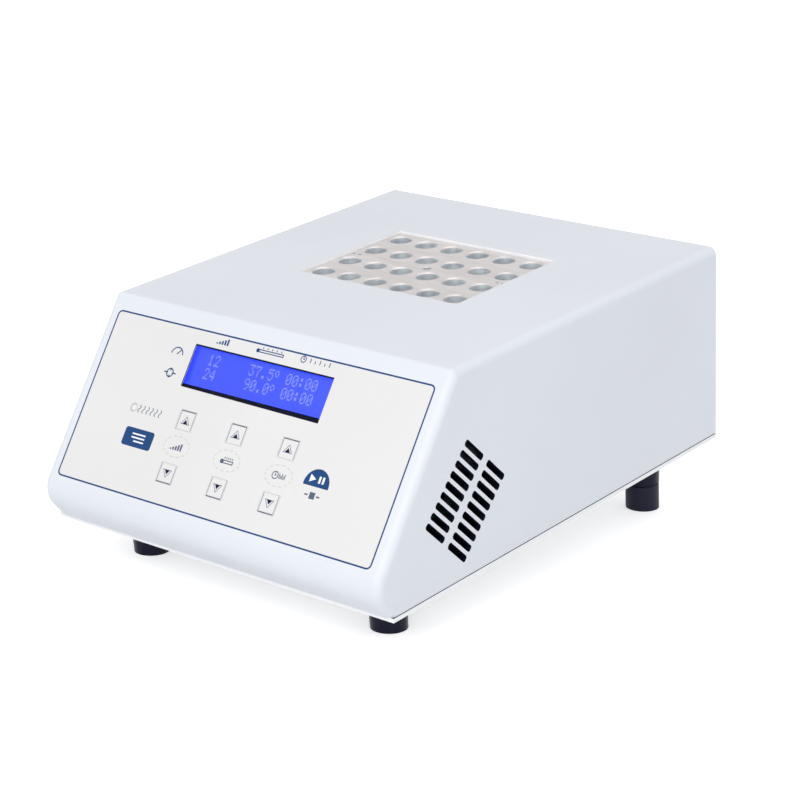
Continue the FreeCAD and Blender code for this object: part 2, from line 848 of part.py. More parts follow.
def add_cover_bosses(body):
    """Lugs inside the walls for the screws of the base plate and of the rear panel."""
    low = new_sketch(body)
    for x, y in CASE_SCREW_PLACES:
        rectangle(low, x, y, s.case_boss_width + 2 * s.shadow_gap, s.case_boss_width)
    pad(body, low, s.case_boss_height)
    bored(body, CASE_SCREW_PLACES, s.screw_diameter, s.case_boss_height, s.case_boss_height)

    rear = new_sketch(body, "XZ_Plane", height=-rear_panel_front)
    holes = new_sketch(body, "XZ_Plane", height=-rear_panel_front)
    for x, z in REAR_SCREW_PLACES:
        square(rear, x, z, s.rear_boss_size + 2 * s.shadow_gap)
        hexagon(holes, x, z, s.screw_diameter)
    pad(body, rear, s.rear_boss_depth)
    pocket(body, holes, s.rear_boss_depth, Reversed=True)


def add_board_posts(body):
    """Posts behind the front panel, each with a stake that goes through its board."""
    for places, depth in (
        (DISPLAY_BOSSES, s.display_board_depth),
        (KEYPAD_BOSSES, s.keypad_board_depth),
    ):
        posts = panel_sketch(body, depth)
        stakes = panel_sketch(body, depth + s.board_thickness + s.stake_end)
        for x, y in places:
            hexagon(posts, x, y, s.panel_boss_size)
            hexagon(stakes, x, y, s.stake_size)
        pad(body, posts, depth - s.cover_wall + s.shadow_gap)
        pad(body, stakes, s.board_thickness + s.stake_end + s.shadow_gap)


def cut_shadow_line(body):
    """A small step along the foot of each side wall, which shows as a thin dark line."""
    sketch = new_sketch(body)
    length = s.cover_depth - nose_y
    for side in (-1, 1):
        rectangle(
            sketch, side * half_width, nose_y + length / 2, 2 * s.shadow_gap,
            length + 2 * s.shadow_gap,
        )
    pocket(body, sketch, s.shadow_gap, Reversed=True)


def make_base_plate():
    """Floor of the case, with slots under the block that let cool air in."""
    body = new_body("base_plate")
    middle = (s.plate_front_gap + s.cover_depth) / 2
    breadth = s.cover_depth - s.plate_front_gap
    slab(body, 0, middle, s.cover_width, breadth, -s.plate_thickness, 0)
    places = [*FOOT_PLACES, *CASE_SCREW_PLACES, *SPACER_PLACES, *STANDOFF_PLACES]
    bored(body, places, shank_hole, 0, s.plate_thickness)
    slots = new_sketch(body)
    clipped_rectangle(
        slots, 0, s.block_centre, s.floor_vent_length, s.vent_width, s.vent_corner
    )
    first = pocket(body, slots, s.plate_thickness)
    repeat(body, first, [((slots, ["V_Axis"]), s.floor_vent_rows, 2 * s.vent_pitch)])


def make_rear_panel():
    """Plate that closes the back of the cover and carries the inlet and the switch."""
    body = new_body("rear_panel", REAR)
    width = 2 * (inner_half_width - s.panel_clearance)
    height = inner_top - s.panel_clearance
    depth = s.rear_panel_thickness
    slab(body, 0, height / 2, width, height, -depth, 0)
    bored(body, REAR_SCREW_PLACES, shank_hole, 0, depth)
    sunk(
        body, s.inlet_left, s.inlet_up, s.inlet_body_width + 2 * s.fit_clearance,
        s.inlet_body_height + 2 * s.fit_clearance, 0, depth,
    )
    sunk(
        body, s.power_switch_left, s.power_switch_up,
        s.power_switch_body_width + 2 * s.fit_clearance,
        s.power_switch_body_height + 2 * s.fit_clearance, 0, depth,
    )
    slots = new_sketch(body)
    clipped_rectangle(
        slots, -s.inlet_left, s.rear_vent_low, s.rear_vent_length, s.vent_width, s.vent_corner
    )
    first = pocket(body, slots, depth)
    repeat(body, first, [((slots, ["V_Axis"]), s.vent_rows, s.vent_pitch)])


def make_front_overlay():
    """Film over the slope, with a cut-out for the display, the lamp and every key."""
    body = new_body("front_overlay", PANEL)
    sketch = new_sketch(body, height=-s.overlay_thickness)
    soft_rectangle(sketch, 0, -overlay_middle, s.overlay_width, s.overlay_height, s.overlay_corner)
    pad(body, sketch, s.overlay_thickness)
    holes = new_sketch(body)
    rectangle(holes, 0, -(s.window_top + s.window_height / 2), s.window_width, s.window_height)
    circle(holes, *LAMP, s.lamp_diameter + 2 * s.lamp_gap)
    for name in KEY_BOXES:
        key_face(holes, name, s.key_gap)
    pocket(body, holes, s.overlay_thickness)


def make_keys():
    """Each key: its face in the film, a flange that the film holds in, and a stem."""
    for name, (x, y, width, height) in KEY_BOXES.items():
        body = new_body(name, PANEL)
        face = new_sketch(body, height=-s.overlay_thickness)
        key_face(face, name, 0)
        pad(body, face, s.overlay_thickness)
        grow = 2 * s.key_flange_overhang
        slab(body, x, y, width + grow, height + grow, -flange_end, -s.overlay_thickness)
        slab(body, x, y, s.key_stem_size, s.key_stem_size, -s.key_stem_end, -flange_end)


def make_display():
    """Clear pane, metal bezel, lit glass and the display's own board."""
    y = -display_middle
    pane = new_body("display_window", PANEL)
    slab(pane, 0, y, s.pane_length, s.pane_breadth, -bezel_depth, -s.overlay_thickness)

    bezel = new_body("display_bezel", PANEL)
    board_face = -s.display_board_depth
    breadth = s.pane_breadth - 2 * s.pane_clearance
    slab(bezel, 0, y, s.pane_length, breadth, board_face, -bezel_depth)
    sunk(bezel, 0, y, s.sight_length, s.sight_height, -bezel_depth, s.bezel_face)
    room_length = s.sight_length + 2 * s.bezel_face
    room_height = s.sight_height + 2 * s.bezel_face
    room = new_sketch(bezel, height=board_face)
    rectangle(room, 0, y, room_length, room_height)
    pocket(bezel, room, s.display_board_depth - glass_depth, Reversed=True)

    length = s.sight_length + s.bezel_face
    height = s.sight_height + s.bezel_face
    glass_back = -(glass_depth + s.glass_thickness)
    glass = new_body("display_glass", PANEL)
    slab(glass, 0, y, length, height, glass_back, -glass_depth)

    backlight = new_body("display_backlight", PANEL)
    slab(backlight, 0, y, length, height, board_face, glass_back)

    make_panel_board(
        "display_board", y, s.display_board_length, s.display_board_breadth,
        s.display_board_depth, DISPLAY_BOSSES,
    )


def make_panel_board(name, y, length, breadth, depth, stakes):
    """A circuit board behind the front panel, with a hole for each stake."""
    board = new_body(name, PANEL)
    slab(board, 0, y, length, breadth, -(depth + s.board_thickness), -depth)
    bored(board, stakes, s.stake_size + 2 * s.stake_gap, -depth, s.board_thickness)


def make_keypad():
    """Board behind the keys with a small switch under each stem, and the status lamp."""
    make_panel_board(
        "keypad_board", -keypad_middle, s.keypad_board_length, s.keypad_board_breadth,
        s.keypad_board_depth, KEYPAD_BOSSES,
    )

    switches = new_body("key_switches", PANEL)
    face = -s.keypad_board_depth
    column(switches, KEY_STEMS, s.switch_size, face, -switch_depth, square)
    column(switches, KEY_STEMS, s.switch_button_size, -switch_depth, -button_depth, square)

    lamp = new_body("status_lamp", PANEL)
    column(lamp, [LAMP], s.lamp_diameter, face, -s.lamp_gap, circle)


def make_heating_block():
    """The lift-out block: 24 wells, a puller hole and four small probe holes."""
    body = new_body("heating_block")
    slab(body, 0, s.block_centre, s.block_length, s.block_breadth, block_bottom, block_top)
    first_x = -(s.well_columns - 1) * s.well_pitch_across / 2
    first_y = s.block_centre - (s.well_rows - 1) * s.well_pitch_back / 2
    first = bored(body, [(first_x, first_y)], s.well_diameter, block_top, s.well_depth, circle)
    repeat(body, first, [
        (origin_axis(body, "X_Axis"), s.well_columns, s.well_pitch_across),
        (origin_axis(body, "Y_Axis"), s.well_rows, s.well_pitch_back),
    ])
    middle = [(0, s.block_centre)]
    bored(body, middle, s.puller_hole_diameter, block_top, s.puller_hole_depth, circle)
    outer = s.block_length / 2 - s.probe_hole_inset
    probes = [
        (side * (outer - shift), s.block_centre)
        for side in (-1, 1)
        for shift in (size_of(0), s.probe_hole_pitch)
    ]
    bored(body, probes, s.probe_hole_diameter, block_top, s.probe_hole_depth)


def make_block_well():
    """Tray that the block stands in, with its gasket and its temperature sensor."""
    y = s.block_centre
    liner = new_body("block_well")
    slab(liner, 0, y, liner_length, liner_breadth, liner_bottom, liner_top)
    sunk(liner, 0, y, pocket_length, pocket_breadth, liner_top, liner_top - block_bottom)
    head = s.screw_head_size + 2 * s.screw_clearance
    bored(liner, SPACER_PLACES, head, block_bottom, s.screw_head_height + s.screw_clearance)
    bored(liner, SPACER_PLACES, shank_hole, block_bottom, s.liner_floor)
    liner_front = y - liner_breadth / 2
    probe_z = liner_bottom + s.liner_floor / 2
    drilling = new_sketch(liner, "XZ_Plane", height=-liner_front)
    circle(drilling, -s.sensor_left, probe_z, s.sensor_diameter + 2 * s.sensor_clearance)
    pocket(liner, drilling, s.sensor_length + s.sensor_clearance)

    gasket = new_body("well_gasket")
    slab(
        gasket, 0, y, pocket_length + 2 * s.gasket_width, pocket_breadth + 2 * s.gasket_width,
        liner_top, inner_top,
    )
    sunk(gasket, 0, y, pocket_length, pocket_breadth, inner_top, s.gasket_thickness)

    sensor = new_body("temperature_sensor")
    probe = new_sketch(sensor, "XZ_Plane", height=-(liner_front - s.jacket_gap))
    circle(probe, -s.sensor_left, probe_z, s.sensor_diameter)
    pad(sensor, probe, s.sensor_length + s.jacket_gap, Reversed=True)


def make_heater():
    """Heater mat, the plate that clamps it, the thermal cut-out and the insulation."""
    y = s.block_centre
    heater = new_body("heater_mat")
    slab(heater, 0, y, liner_length, liner_breadth, heater_bottom, liner_bottom)
    bored(heater, SPACER_PLACES, shank_hole, liner_bottom, s.heater_thickness)

    clamp = new_body("clamp_plate")
    slab(clamp, 0, y, liner_length, liner_breadth, clamp_bottom, heater_bottom)
    bored(clamp, SPACER_PLACES, shank_hole, heater_bottom, s.clamp_thickness)

    cutout = new_body("thermal_cutout")
    column(cutout, [(0, y)], s.cutout_diameter, cutout_bottom, clamp_bottom, circle)

    jacket = new_body("insulation_jacket")
    length = jacket_room_length + 2 * s.jacket_thickness
    breadth = jacket_room_breadth + 2 * s.jacket_thickness
    high = liner_top - s.jacket_gap
    slab(jacket, 0, y, length, breadth, cutout_bottom - s.jacket_floor, high)
    sunk(jacket, 0, y, jacket_room_length, jacket_room_breadth, high, high - cutout_bottom)
    spacer_hole = s.spacer_size + 2 * s.jacket_gap
    bored(jacket, SPACER_PLACES, spacer_hole, cutout_bottom, s.jacket_floor)
    notch = new_sketch(jacket, "XZ_Plane", height=-(y - breadth / 2))
    rectangle(notch, 0, liner_bottom, s.lead_notch_width, 2 * s.liner_floor)
    pocket(jacket, notch, s.jacket_thickness + s.jacket_gap)


def add_screws(body, places, face, shank, direction=1):
    """Like screws, each with its head on one side of a face and its shank on the other."""
    face = size_of(face)
    head_end = face - direction * s.screw_head_height
    tip = face + direction * shank
    if direction > 0:
        column(body, places, s.screw_head_size, head_end, face)
        column(body, places, s.screw_diameter, face, tip)
    else:
        column(body, places, s.screw_head_size, face, head_end)
        column(body, places, s.screw_diameter, tip, face)


def make_fasteners():
    """Screws, the posts that they hold, and the studs and nuts of the feet."""
    under = -s.plate_thickness
    well_screws = new_body("well_screws")
    seat = block_bottom - s.screw_clearance - s.screw_head_height
    add_screws(well_screws, SPACER_PLACES, seat, s.well_screw_length, direction=-1)

    spacers = new_body("well_spacers")
    column(spacers, SPACER_PLACES, s.spacer_size, 0, clamp_bottom)
    bored(spacers, SPACER_PLACES, s.screw_diameter, clamp_bottom, clamp_bottom)

    standoffs = new_body("board_standoffs")
    column(standoffs, STANDOFF_PLACES, s.standoff_size, 0, s.standoff_height)
    bored(standoffs, STANDOFF_PLACES, s.screw_diameter, s.standoff_height, s.standoff_height)

    chassis_screws = new_body("chassis_screws")
    length = s.plate_thickness + s.standoff_height / 2
    add_screws(chassis_screws, [*SPACER_PLACES, *STANDOFF_PLACES], under, length)

    board_screws = new_body("board_screws")
    length = s.board_thickness + s.standoff_height / 2 - s.screw_clearance
    add_screws(board_screws, STANDOFF_PLACES, board_top, length, direction=-1)

    case_screws = new_body("case_screws")
    add_screws(case_screws, CASE_SCREW_PLACES, under, s.case_screw_length)

    rear_screws = new_body("rear_panel_screws", REAR)
    add_screws(rear_screws, REAR_SCREW_PLACES, 0, s.rear_screw_length, direction=-1)

    studs = new_body("foot_studs")
    low = under - s.stud_in_foot
    column(studs, FOOT_PLACES, s.screw_diameter, low, s.foot_nut_height + s.stud_end)

    nuts = new_body("foot_nuts")
    column(nuts, FOOT_PLACES, s.foot_nut_size, 0, s.foot_nut_height)
    bored(nuts, FOOT_PLACES, s.screw_diameter, s.foot_nut_height, s.foot_nut_height)

    riser_screws = new_body("riser_screws")
    add_screws(riser_screws, REAR_FOOT_PLACES, riser_screw_seat, s.riser_screw_length)


def make_feet():
    """Front and rear feet, and the extensions that lift the rear ones."""
    for row, y in FOOT_ROWS.items():
        places = [(x, y) for x in (-foot_x, foot_x)]
        feet = new_body(f"{row}_feet")
        column(feet, places, s.foot_diameter, foot_bottom, -s.plate_thickness, circle)
        bored(feet, places, s.screw_diameter, -s.plate_thickness, s.stud_in_foot)
        if row == "front":
            cut_to_table(feet)
        else:
            hole_top = foot_bottom + s.riser_screw_in_foot
            bored(feet, places, s.screw_diameter, hole_top, s.riser_screw_in_foot)

    risers = new_body("rear_foot_risers")
    low = foot_bottom - s.riser_height
    column(risers, REAR_FOOT_PLACES, s.riser_diameter, low, foot_bottom, circle)
    bored(risers, REAR_FOOT_PLACES, shank_hole, foot_bottom, s.riser_height)
    recess = s.screw_head_size + 2 * s.screw_clearance
    bored(risers, REAR_FOOT_PLACES, recess, riser_screw_seat, s.riser_height)
    cut_to_table(risers)


def cut_to_table(body):
    """Cuts a foot level with the table, which lies at a slant to the case."""
    reach = 2 * s.foot_height
    near = -reach
    far = s.cover_depth + reach

    def table(y):
        return -(table_drop + (y - s.foot_front_inset) * lean_slope)

    sketch = new_sketch(body, "YZ_Plane")
    polygon(sketch, [
        (near, table(near)), (near, table(near) - reach),
        (far, table(far) - reach), (far, table(far)),
    ])
    pocket(body, sketch, 2 * s.cover_width, Midplane=True)


def make_control_board():
    """Control board, with the mains transformer that stands on it."""
    y = s.control_board_centre
    board = new_body("control_board")
    slab(board, 0, y, s.control_board_length, s.control_board_breadth, s.standoff_height, board_top)
    bored(board, STANDOFF_PLACES, shank_hole, board_top, s.board_thickness)

    x = -s.transformer_left
    # The core counts six parts: two outer limbs, two windows and a middle limb of two parts
    limb = s.transformer_length / 6
    core_top = board_top + s.transformer_height
    core = new_body("transformer_core")
    slab(core, x, y, s.transformer_length, s.transformer_breadth, board_top, core_top)
    windows = new_sketch(core, "XZ_Plane", height=-(y - s.transformer_breadth / 2))
    window_height = s.transformer_height - 2 * limb
    middle = board_top + s.transformer_height / 2
    for side in (-1, 1):
        rectangle(windows, x + side * (limb + limb / 2), middle, limb, window_height)
    pocket(core, windows, s.transformer_breadth)

    coil = new_body("transformer_coil")
    breadth = s.transformer_breadth + 2 * s.coil_overhang
    coil_low = board_top + limb
    coil_high = core_top - limb
    slab(coil, x, y, 4 * limb, breadth, coil_low, coil_high)
    bore = new_sketch(coil, height=coil_low)
    rectangle(bore, x, y, 2 * limb, s.transformer_breadth)
    pocket(coil, bore, window_height, Reversed=True)


def make_board_parts():
    """Heat sink with its triac, capacitor, terminal block and the panel's connector."""
    sink = new_body("triac_heat_sink")
    x = s.heat_sink_right
    rear = board_rear - 2 * s.standoff_inset
    front = rear - s.heat_sink_breadth
    high = board_top + s.heat_sink_height
    slab(sink, x, front + s.heat_sink_web / 2, s.heat_sink_length, s.heat_sink_web, board_top, high)
    fin = new_sketch(sink, height=board_top)
    first = x - s.heat_sink_length / 2 + s.fin_thickness / 2
    depth = s.heat_sink_breadth - s.heat_sink_web / 2
    rectangle(fin, first, rear - depth / 2, s.fin_thickness, depth)
    row = pad(sink, fin, s.heat_sink_height)
    step = (s.heat_sink_length - s.fin_thickness) / (s.fin_count - 1)
    repeat(sink, row, [((fin, ["H_Axis"]), s.fin_count, step)])

    triac = new_body("triac")
    low = board_top + s.triac_leg_height
    middle = front - s.triac_thickness / 2
    slab(triac, x, middle, s.triac_width, s.triac_thickness, low, low + s.triac_height)
    legs = [(x + step * s.triac_leg_pitch, middle) for step in (-1, 0, 1)]
    column(triac, legs, s.triac_leg_size, board_top, low, square)

    capacitor = new_body("filter_capacitor")
    spot = [(s.capacitor_right, s.control_board_centre)]
    capacitor_top = board_top + s.capacitor_height
    column(capacitor, spot, s.capacitor_diameter, board_top, capacitor_top, circle)

    terminals = new_body("terminal_block")
    top = board_top + s.terminal_height
    y = board_front + s.terminal_breadth
    slab(terminals, x, y, s.terminal_length, s.terminal_breadth, board_top, top)


def make_inlet():
    """Mains inlet with its three pins."""
    x, y = s.inlet_left, s.inlet_up
    body = new_body("inlet_socket", REAR)
    back = -s.inlet_body_depth
    slab(body, x, y, s.inlet_body_width, s.inlet_body_height, back, 0)
    flange = new_sketch(body)
    clipped_rectangle(
        flange, x, y, s.inlet_flange_width, s.inlet_flange_height, s.inlet_flange_thickness
    )
    pad(body, flange, s.inlet_flange_thickness)
    mouth = new_sketch(body, height=s.inlet_flange_thickness)
    socket_outline(mouth, x, y + s.socket_up)
    pocket(body, mouth, s.socket_depth)
    sunk(
        body, x, y - s.drawer_down, s.drawer_width, s.drawer_height, s.inlet_flange_thickness,
        s.drawer_depth + s.drawer_gap,
    )

    socket_floor = s.inlet_flange_thickness - s.socket_depth
    pins = new_body("inlet_pins", REAR)
    blades = new_sketch(pins, height=back - s.tab_reach)
    holes = new_sketch(body, height=socket_floor)
    pin_y = y + s.socket_up
    for pin_x, up in (
        (x - s.pin_spread, pin_y - s.pin_drop),
        (x + s.pin_spread, pin_y - s.pin_drop),
        (x, pin_y + s.earth_pin_rise),
    ):
        rectangle(blades, pin_x, up, s.pin_width, s.pin_height)
        rectangle(holes, pin_x, up, s.pin_width, s.pin_height)
    pocket(body, holes, s.inlet_body_depth)
    pad(pins, blades, socket_floor + s.pin_reach - back + s.tab_reach)


def socket_outline(sketch, x, y):
    """The inlet's mouth: a rectangle with its two upper corners cut off."""
    half = s.socket_width / 2
    rise = s.socket_height / 2
    cut = s.socket_corner
    polygon(sketch, [
        (x - half, y - rise), (x + half, y - rise), (x + half, y + rise - cut),
        (x + half - cut, y + rise), (x - half + cut, y + rise), (x - half, y + rise - cut),
    ])


def make_fuse_drawer():
    """Drawer under the inlet's mouth, with the glass fuse lying in it."""
    x, y = s.inlet_left, s.inlet_up - s.drawer_down
    gap = s.drawer_gap
    face = s.inlet_flange_thickness
    drawer = new_body("fuse_drawer", REAR)
    slab(
        drawer, x, y, s.drawer_width - 2 * gap, s.drawer_height - 2 * gap,
        face - s.drawer_depth, face,
    )
    slab(
        drawer, x, y, s.drawer_width + 2 * s.drawer_lip, s.drawer_height + 2 * s.drawer_lip,
        face, face + s.drawer_lip_thickness,
    )
    trough_top = face - s.drawer_lip_thickness
    sunk(
        drawer, x, y, s.fuse_diameter + 2 * gap, s.drawer_height, trough_top,
        s.fuse_length + 2 * gap,
    )

    high = trough_top - gap
    low = high - s.fuse_length
    caps = new_body("fuse_caps", REAR)
    column(caps, [(x, y)], s.fuse_diameter, low, low + s.fuse_cap_length, circle)
    column(caps, [(x, y)], s.fuse_diameter, high - s.fuse_cap_length, high, circle)
    tube = new_body("fuse_tube", REAR)
    column(
        tube, [(x, y)], s.fuse_glass_diameter, low + s.fuse_cap_length, high - s.fuse_cap_length,
        circle,
    )


def make_power_switch():
    """Snap-in power switch: housing, the tabs behind it, and the rocker at rest on one side."""
    x, y = s.power_switch_left, s.power_switch_up
    width, height = s.power_switch_body_width, s.power_switch_body_height
    back = -s.power_switch_body_depth
    housing = new_body("power_switch", REAR)
    slab(housing, x, y, width, height, back, 0)
    flange = new_sketch(housing)
    clipped_rectangle(
        flange, x, y, s.power_switch_width, s.power_switch_height, s.power_switch_flange
    )
    pad(housing, flange, s.power_switch_flange)
    sunk(
        housing, x, y, s.rocker_width + 2 * s.rocker_gap, s.rocker_length + 2 * s.rocker_gap,
        s.power_switch_flange, s.power_switch_flange + s.rocker_room,
    )

    tabs = new_body("switch_tabs", REAR)
    tab_places = corners_of(s.switch_tab_spread, s.switch_tab_rise, x, y)
    column(tabs, tab_places, s.switch_tab_size, back - s.tab_reach, back, square)

    rocker = new_body("switch_rocker", f"{REAR} * {place(x, y, 0, angle=-s.rocker_tilt)}")
    side_view = new_sketch(rocker, "YZ_Plane")
    half = s.rocker_length / 2
    polygon(side_view, [
        (-s.rocker_belly_reach, -s.rocker_belly), (s.rocker_belly_reach, -s.rocker_belly),
        (half, 0), (half, s.rocker_rise), (0, s.rocker_rise - s.rocker_dish),
        (-half, s.rocker_rise), (-half, 0),
    ])
    pad(rocker, side_view, s.rocker_width, Midplane=True)


MAKERS = [
    make_top_cover, make_base_plate, make_rear_panel, make_front_overlay, make_keys, make_display,
    make_keypad, make_heating_block, make_block_well, make_heater, make_fasteners, make_feet,
    make_control_board, make_board_parts, make_inlet, make_fuse_drawer, make_power_switch,
]


def check_document():
    for item in doc.Objects:
        bad = [state for state in item.State if state in ("Invalid", "Error")]
        if bad:
            raise RuntimeError(f"{item.Name} of {item.getParentGeoFeatureGroup()}: {bad}")
    for node in nodes:
        if node.Shape.isNull() or not node.Shape.isValid():
            raise RuntimeError(f"{node.Label} has no sound shape")


def write_parts():
    os.makedirs("parts", exist_ok=True)
    for node in nodes:
        node.Shape.exportStep(f"parts/{node.Label}.step")


for maker in MAKERS:
    maker()
    doc.recompute()
check_document()
write_parts()
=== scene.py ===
"""Looks of the dry bath incubator: printed panel, lit display, machined block, feet, studio.

Sizes are in millimetres. A point of the front panel is given as its place to the right of
the panel's middle line and its distance down the slope from the top front edge.
"""

import json
import math

import bmesh
import bpy
from mathutils import Matrix, Vector


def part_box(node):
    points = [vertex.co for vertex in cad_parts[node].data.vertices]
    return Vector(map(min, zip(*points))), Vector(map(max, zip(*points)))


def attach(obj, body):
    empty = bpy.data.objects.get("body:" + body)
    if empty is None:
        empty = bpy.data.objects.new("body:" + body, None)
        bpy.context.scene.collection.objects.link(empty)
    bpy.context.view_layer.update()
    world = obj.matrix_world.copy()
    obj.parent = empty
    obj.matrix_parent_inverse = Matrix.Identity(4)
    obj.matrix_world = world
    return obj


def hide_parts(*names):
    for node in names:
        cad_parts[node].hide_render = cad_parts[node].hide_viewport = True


MM = 0.001

# Case, in its own frame, which starts at the cover's lower front edge
COVER_HALF_WIDTH = 101.0
WALL = 3.0
COVER_DEPTH = 249.7
COVER_HEIGHT = 95.4
TOP_FRONT = 48.5
SLOPE_ANGLE = 53.8
PLATE_THICKNESS = 2.0
PLATE_FRONT = 1.0

# Faces of the case that take a second material, painted shade in the vents and painted light on the
# opening's rim: areas as (back, up), limits of a face's slant
FACE_MARGIN = 0.1
VENT_LOW = (22.0, 5.5)
VENT_HIGH = (82.0, 66.0)
RIM_LOW = COVER_HEIGHT - WALL - FACE_MARGIN
RIM_HIGH = COVER_HEIGHT - FACE_MARGIN / 2
FACES_UP = 0.9
FACES_ASIDE = 0.5

# Film on the slope
FILM_HALF_WIDTH = 94.5
FILM_TOP = 7.9
FILM_BOTTOM = 90.3
FILM_CORNER = 2.2
FILM_BORDER = 0.75
BORDER_GAP = 0.1
INK_LIFT = 0.03
FINE_LINE = 0.35
THIN_LINE = 0.45
ICON_LINE = 0.55

# Display
WINDOW_HALF_WIDTH = 41.2
WINDOW_TOP = 15.7
WINDOW_BOTTOM = 35.2
WINDOW_LOWER_LEFT = 0.5
WINDOW_LOWER_RIGHT = 1.2
WINDOW_THIN_EDGE = 0.5
WINDOW_OVERLAP = 0.2
GLASS_DEPTH = 2.1
CHARACTER_PITCH = 3.75
DOT_PITCH_ACROSS = 0.62
DOT_PITCH_DOWN = 0.76
DOT_FILL = 0.84
DISPLAY_ROWS = {17.9: ("12", "37.5*", "00:00"), 24.5: ("24", "90.0*", "00:00")}
DISPLAY_COLUMNS = (-32.6, -7.8, 14.2)

# Keys
KEY_COLUMNS = {"step": -30.8, "temperature": 0.0, "time": 30.8}
UP_KEY_DOWN = 50.3
DOWN_KEY_DOWN = 75.5
BRACKET_HALF_WIDTH = 4.3
BRACKET_HALF_HEIGHT = 4.2
ARROW_FOOT = 1.7
ARROW_HALF_WIDTH = 1.5
ARROW_HEIGHT = 3.5
ARROW_OUTLINE = 2.4
ARROW_FILL = 0.6
OVAL_DOWN = 62.7
OVAL_HALF_WIDTH = 7.6
OVAL_HALF_HEIGHT = 4.8
OVAL_DASHES = 14
DASH_SHARE = 0.6
OVAL_PICTURE = (7.4, 3.4)
PROGRAM_KEY = (-54.6, 63.9)
START_KEY = (51.8, 62.1)
LAMP = (-63.7, 50.6)
LAMP_RING = 2.0
LAMP_LINE = 0.3

# Marks on the two function keys and under one of them, from the key's own point
PROGRAM_LINES = 3
PROGRAM_LINE_REACH = 4.1
PROGRAM_LINE_INDENT = 2.0
PROGRAM_LINE_PITCH = 1.7
PROGRAM_LINE_TOP = -2.1
PROGRAM_LINE_BOTTOM = -1.4
PLAY_MARK = ((-4.2, -4.2), (-0.8, -2.4), (-4.2, -0.7))
PAUSE_LEFTS = (0.7, 2.7)
PAUSE_WIDTH = 1.1
PAUSE_TOP = -4.0
PAUSE_BOTTOM = -0.9
STOP_MARK_DOWN = 4.9
STOP_MARK_HALF = 1.5
STOP_DASH = (2.4, 4.2)
STOP_DASH_WIDTH = 0.7

# Waves beside the lamp
WAVES = 6
WAVE_START = 3.6
WAVE_PITCH = 2.6
WAVE_SWING = 0.6
WAVE_TOP = 1.8
WAVE_STEP = 0.45
WAVE_STEPS = 8
WAVE_LINE = 0.4

# Printed pictures: right, down, and length for the headings
HEADINGS = {
    "step": (-26.5, 11.4, 7.8), "temperature": (1.7, 11.0, 16.0), "time": (28.5, 10.5, 17.4),
}
HEADING_HEIGHT = 3.0
ICON_PARTS = 5
MEASURED_MARK = (-50.4, 20.4)
GAUGE_DROP = 1.6
GAUGE_RADII = (3.4, 3.2)
GAUGE_NEEDLE = (1.9, -0.6)
TARGET_MARK = (-50.4, 31.0)
TARGET_RADIUS = 1.9
TARGET_ACROSS = (1.2, 3.7)
TARGET_DOWN = (0.9, 2.4)

# Shares of a picture's height, or of the length that the name says
BAR_LEFT_OF_PITCH = 0.15
BAR_RIGHT_OF_PITCH = 0.8
FIRST_BAR = 0.3
BAR_RISE = 0.8
BAR_FOOT = 0.5
BULB = 0.32
BULB_DOWN = 0.15
TUBE_OF_BULB = 0.55
SCALE_TOP = 0.5
SCALE_BOTTOM = 0.22
SCALE_END = 0.6
CLOCK = 0.48
LONG_HAND_OF_CLOCK = 0.7
SHORT_HAND_OF_CLOCK = 0.5
MARKS_END = 0.3
TALL_MARK = -0.35
SHORT_MARK = -0.1
MARK_FOOT = 0.35

# Heating block
BLOCK_CENTRE = 155.0
BLOCK_LENGTH = 94.1
BLOCK_BREADTH = 75.3
BLOCK_HEIGHT = 50.0
BLOCK_SINK = 1.2
BLOCK_EDGE = 0.4
CUT_OVER = 1.0
WELL_COLUMNS = 6
WELL_ROWS = 4
WELL_PITCH_ACROSS = 15.9
WELL_PITCH_BACK = 19.3
WELL_RADIUS = 5.5
WELL_CHAMFER = 0.7
WELL_STRAIGHT = 19.5
WELL_DEPTH = 36.0
WELL_TIP = 2.2
PULLER_RADIUS = 2.1
PULLER_CHAMFER = 0.4
PULLER_DEPTH = 16.0
PROBE_RADIUS = 0.9
PROBE_DEPTH = 8.0
PROBE_PLACES = (45.25, 41.85)
TURN_STEPS = 48

# Feet
FOOT_HALF_SPREAD = 72.8
FRONT_FOOT = 30.4
REAR_FOOT = 226.7
FOOT_HEIGHT = 21.8
FOOT_TOP_RADIUS = 9.1
FOOT_BOTTOM_RADIUS = 8.5
RISER_RADIUS = 8.3
FOOT_EDGE = 0.8
FOOT_STRAIGHT = 2.4

# Camera, in degrees, millimetres and the photograph's width
AZIMUTH = 39.46
ELEVATION = 17.6
LENS = 106.56
SENSOR_WIDTH = 36.0
CLIP_START = 0.01
DISTANCE = 1119.9
AIM_IN_CASE = (0.0, 127.93, 47.46)
AIM_SHIFT = (-2.3, 10.75)

# Studio: lamps as (place, size, power) in metres and watts
AMBIENT = 0.76
KEY_LIGHT = ((0.82, -1.74, 1.15), 2.2, 24)
TOP_LIGHT = ((0.3, 0.4, 2.4), 1.8, 4.5)
FLOOR_HALF = 6000.0
FLOOR_COLOUR = (0.78, 0.78, 0.79)
FLOOR_ROUGHNESS = 0.9
FLOOR_GLOW = 0.55

# Grain and mottle of the materials
MOTTLE_LOW = 0.3
MOTTLE_HIGH = 0.7

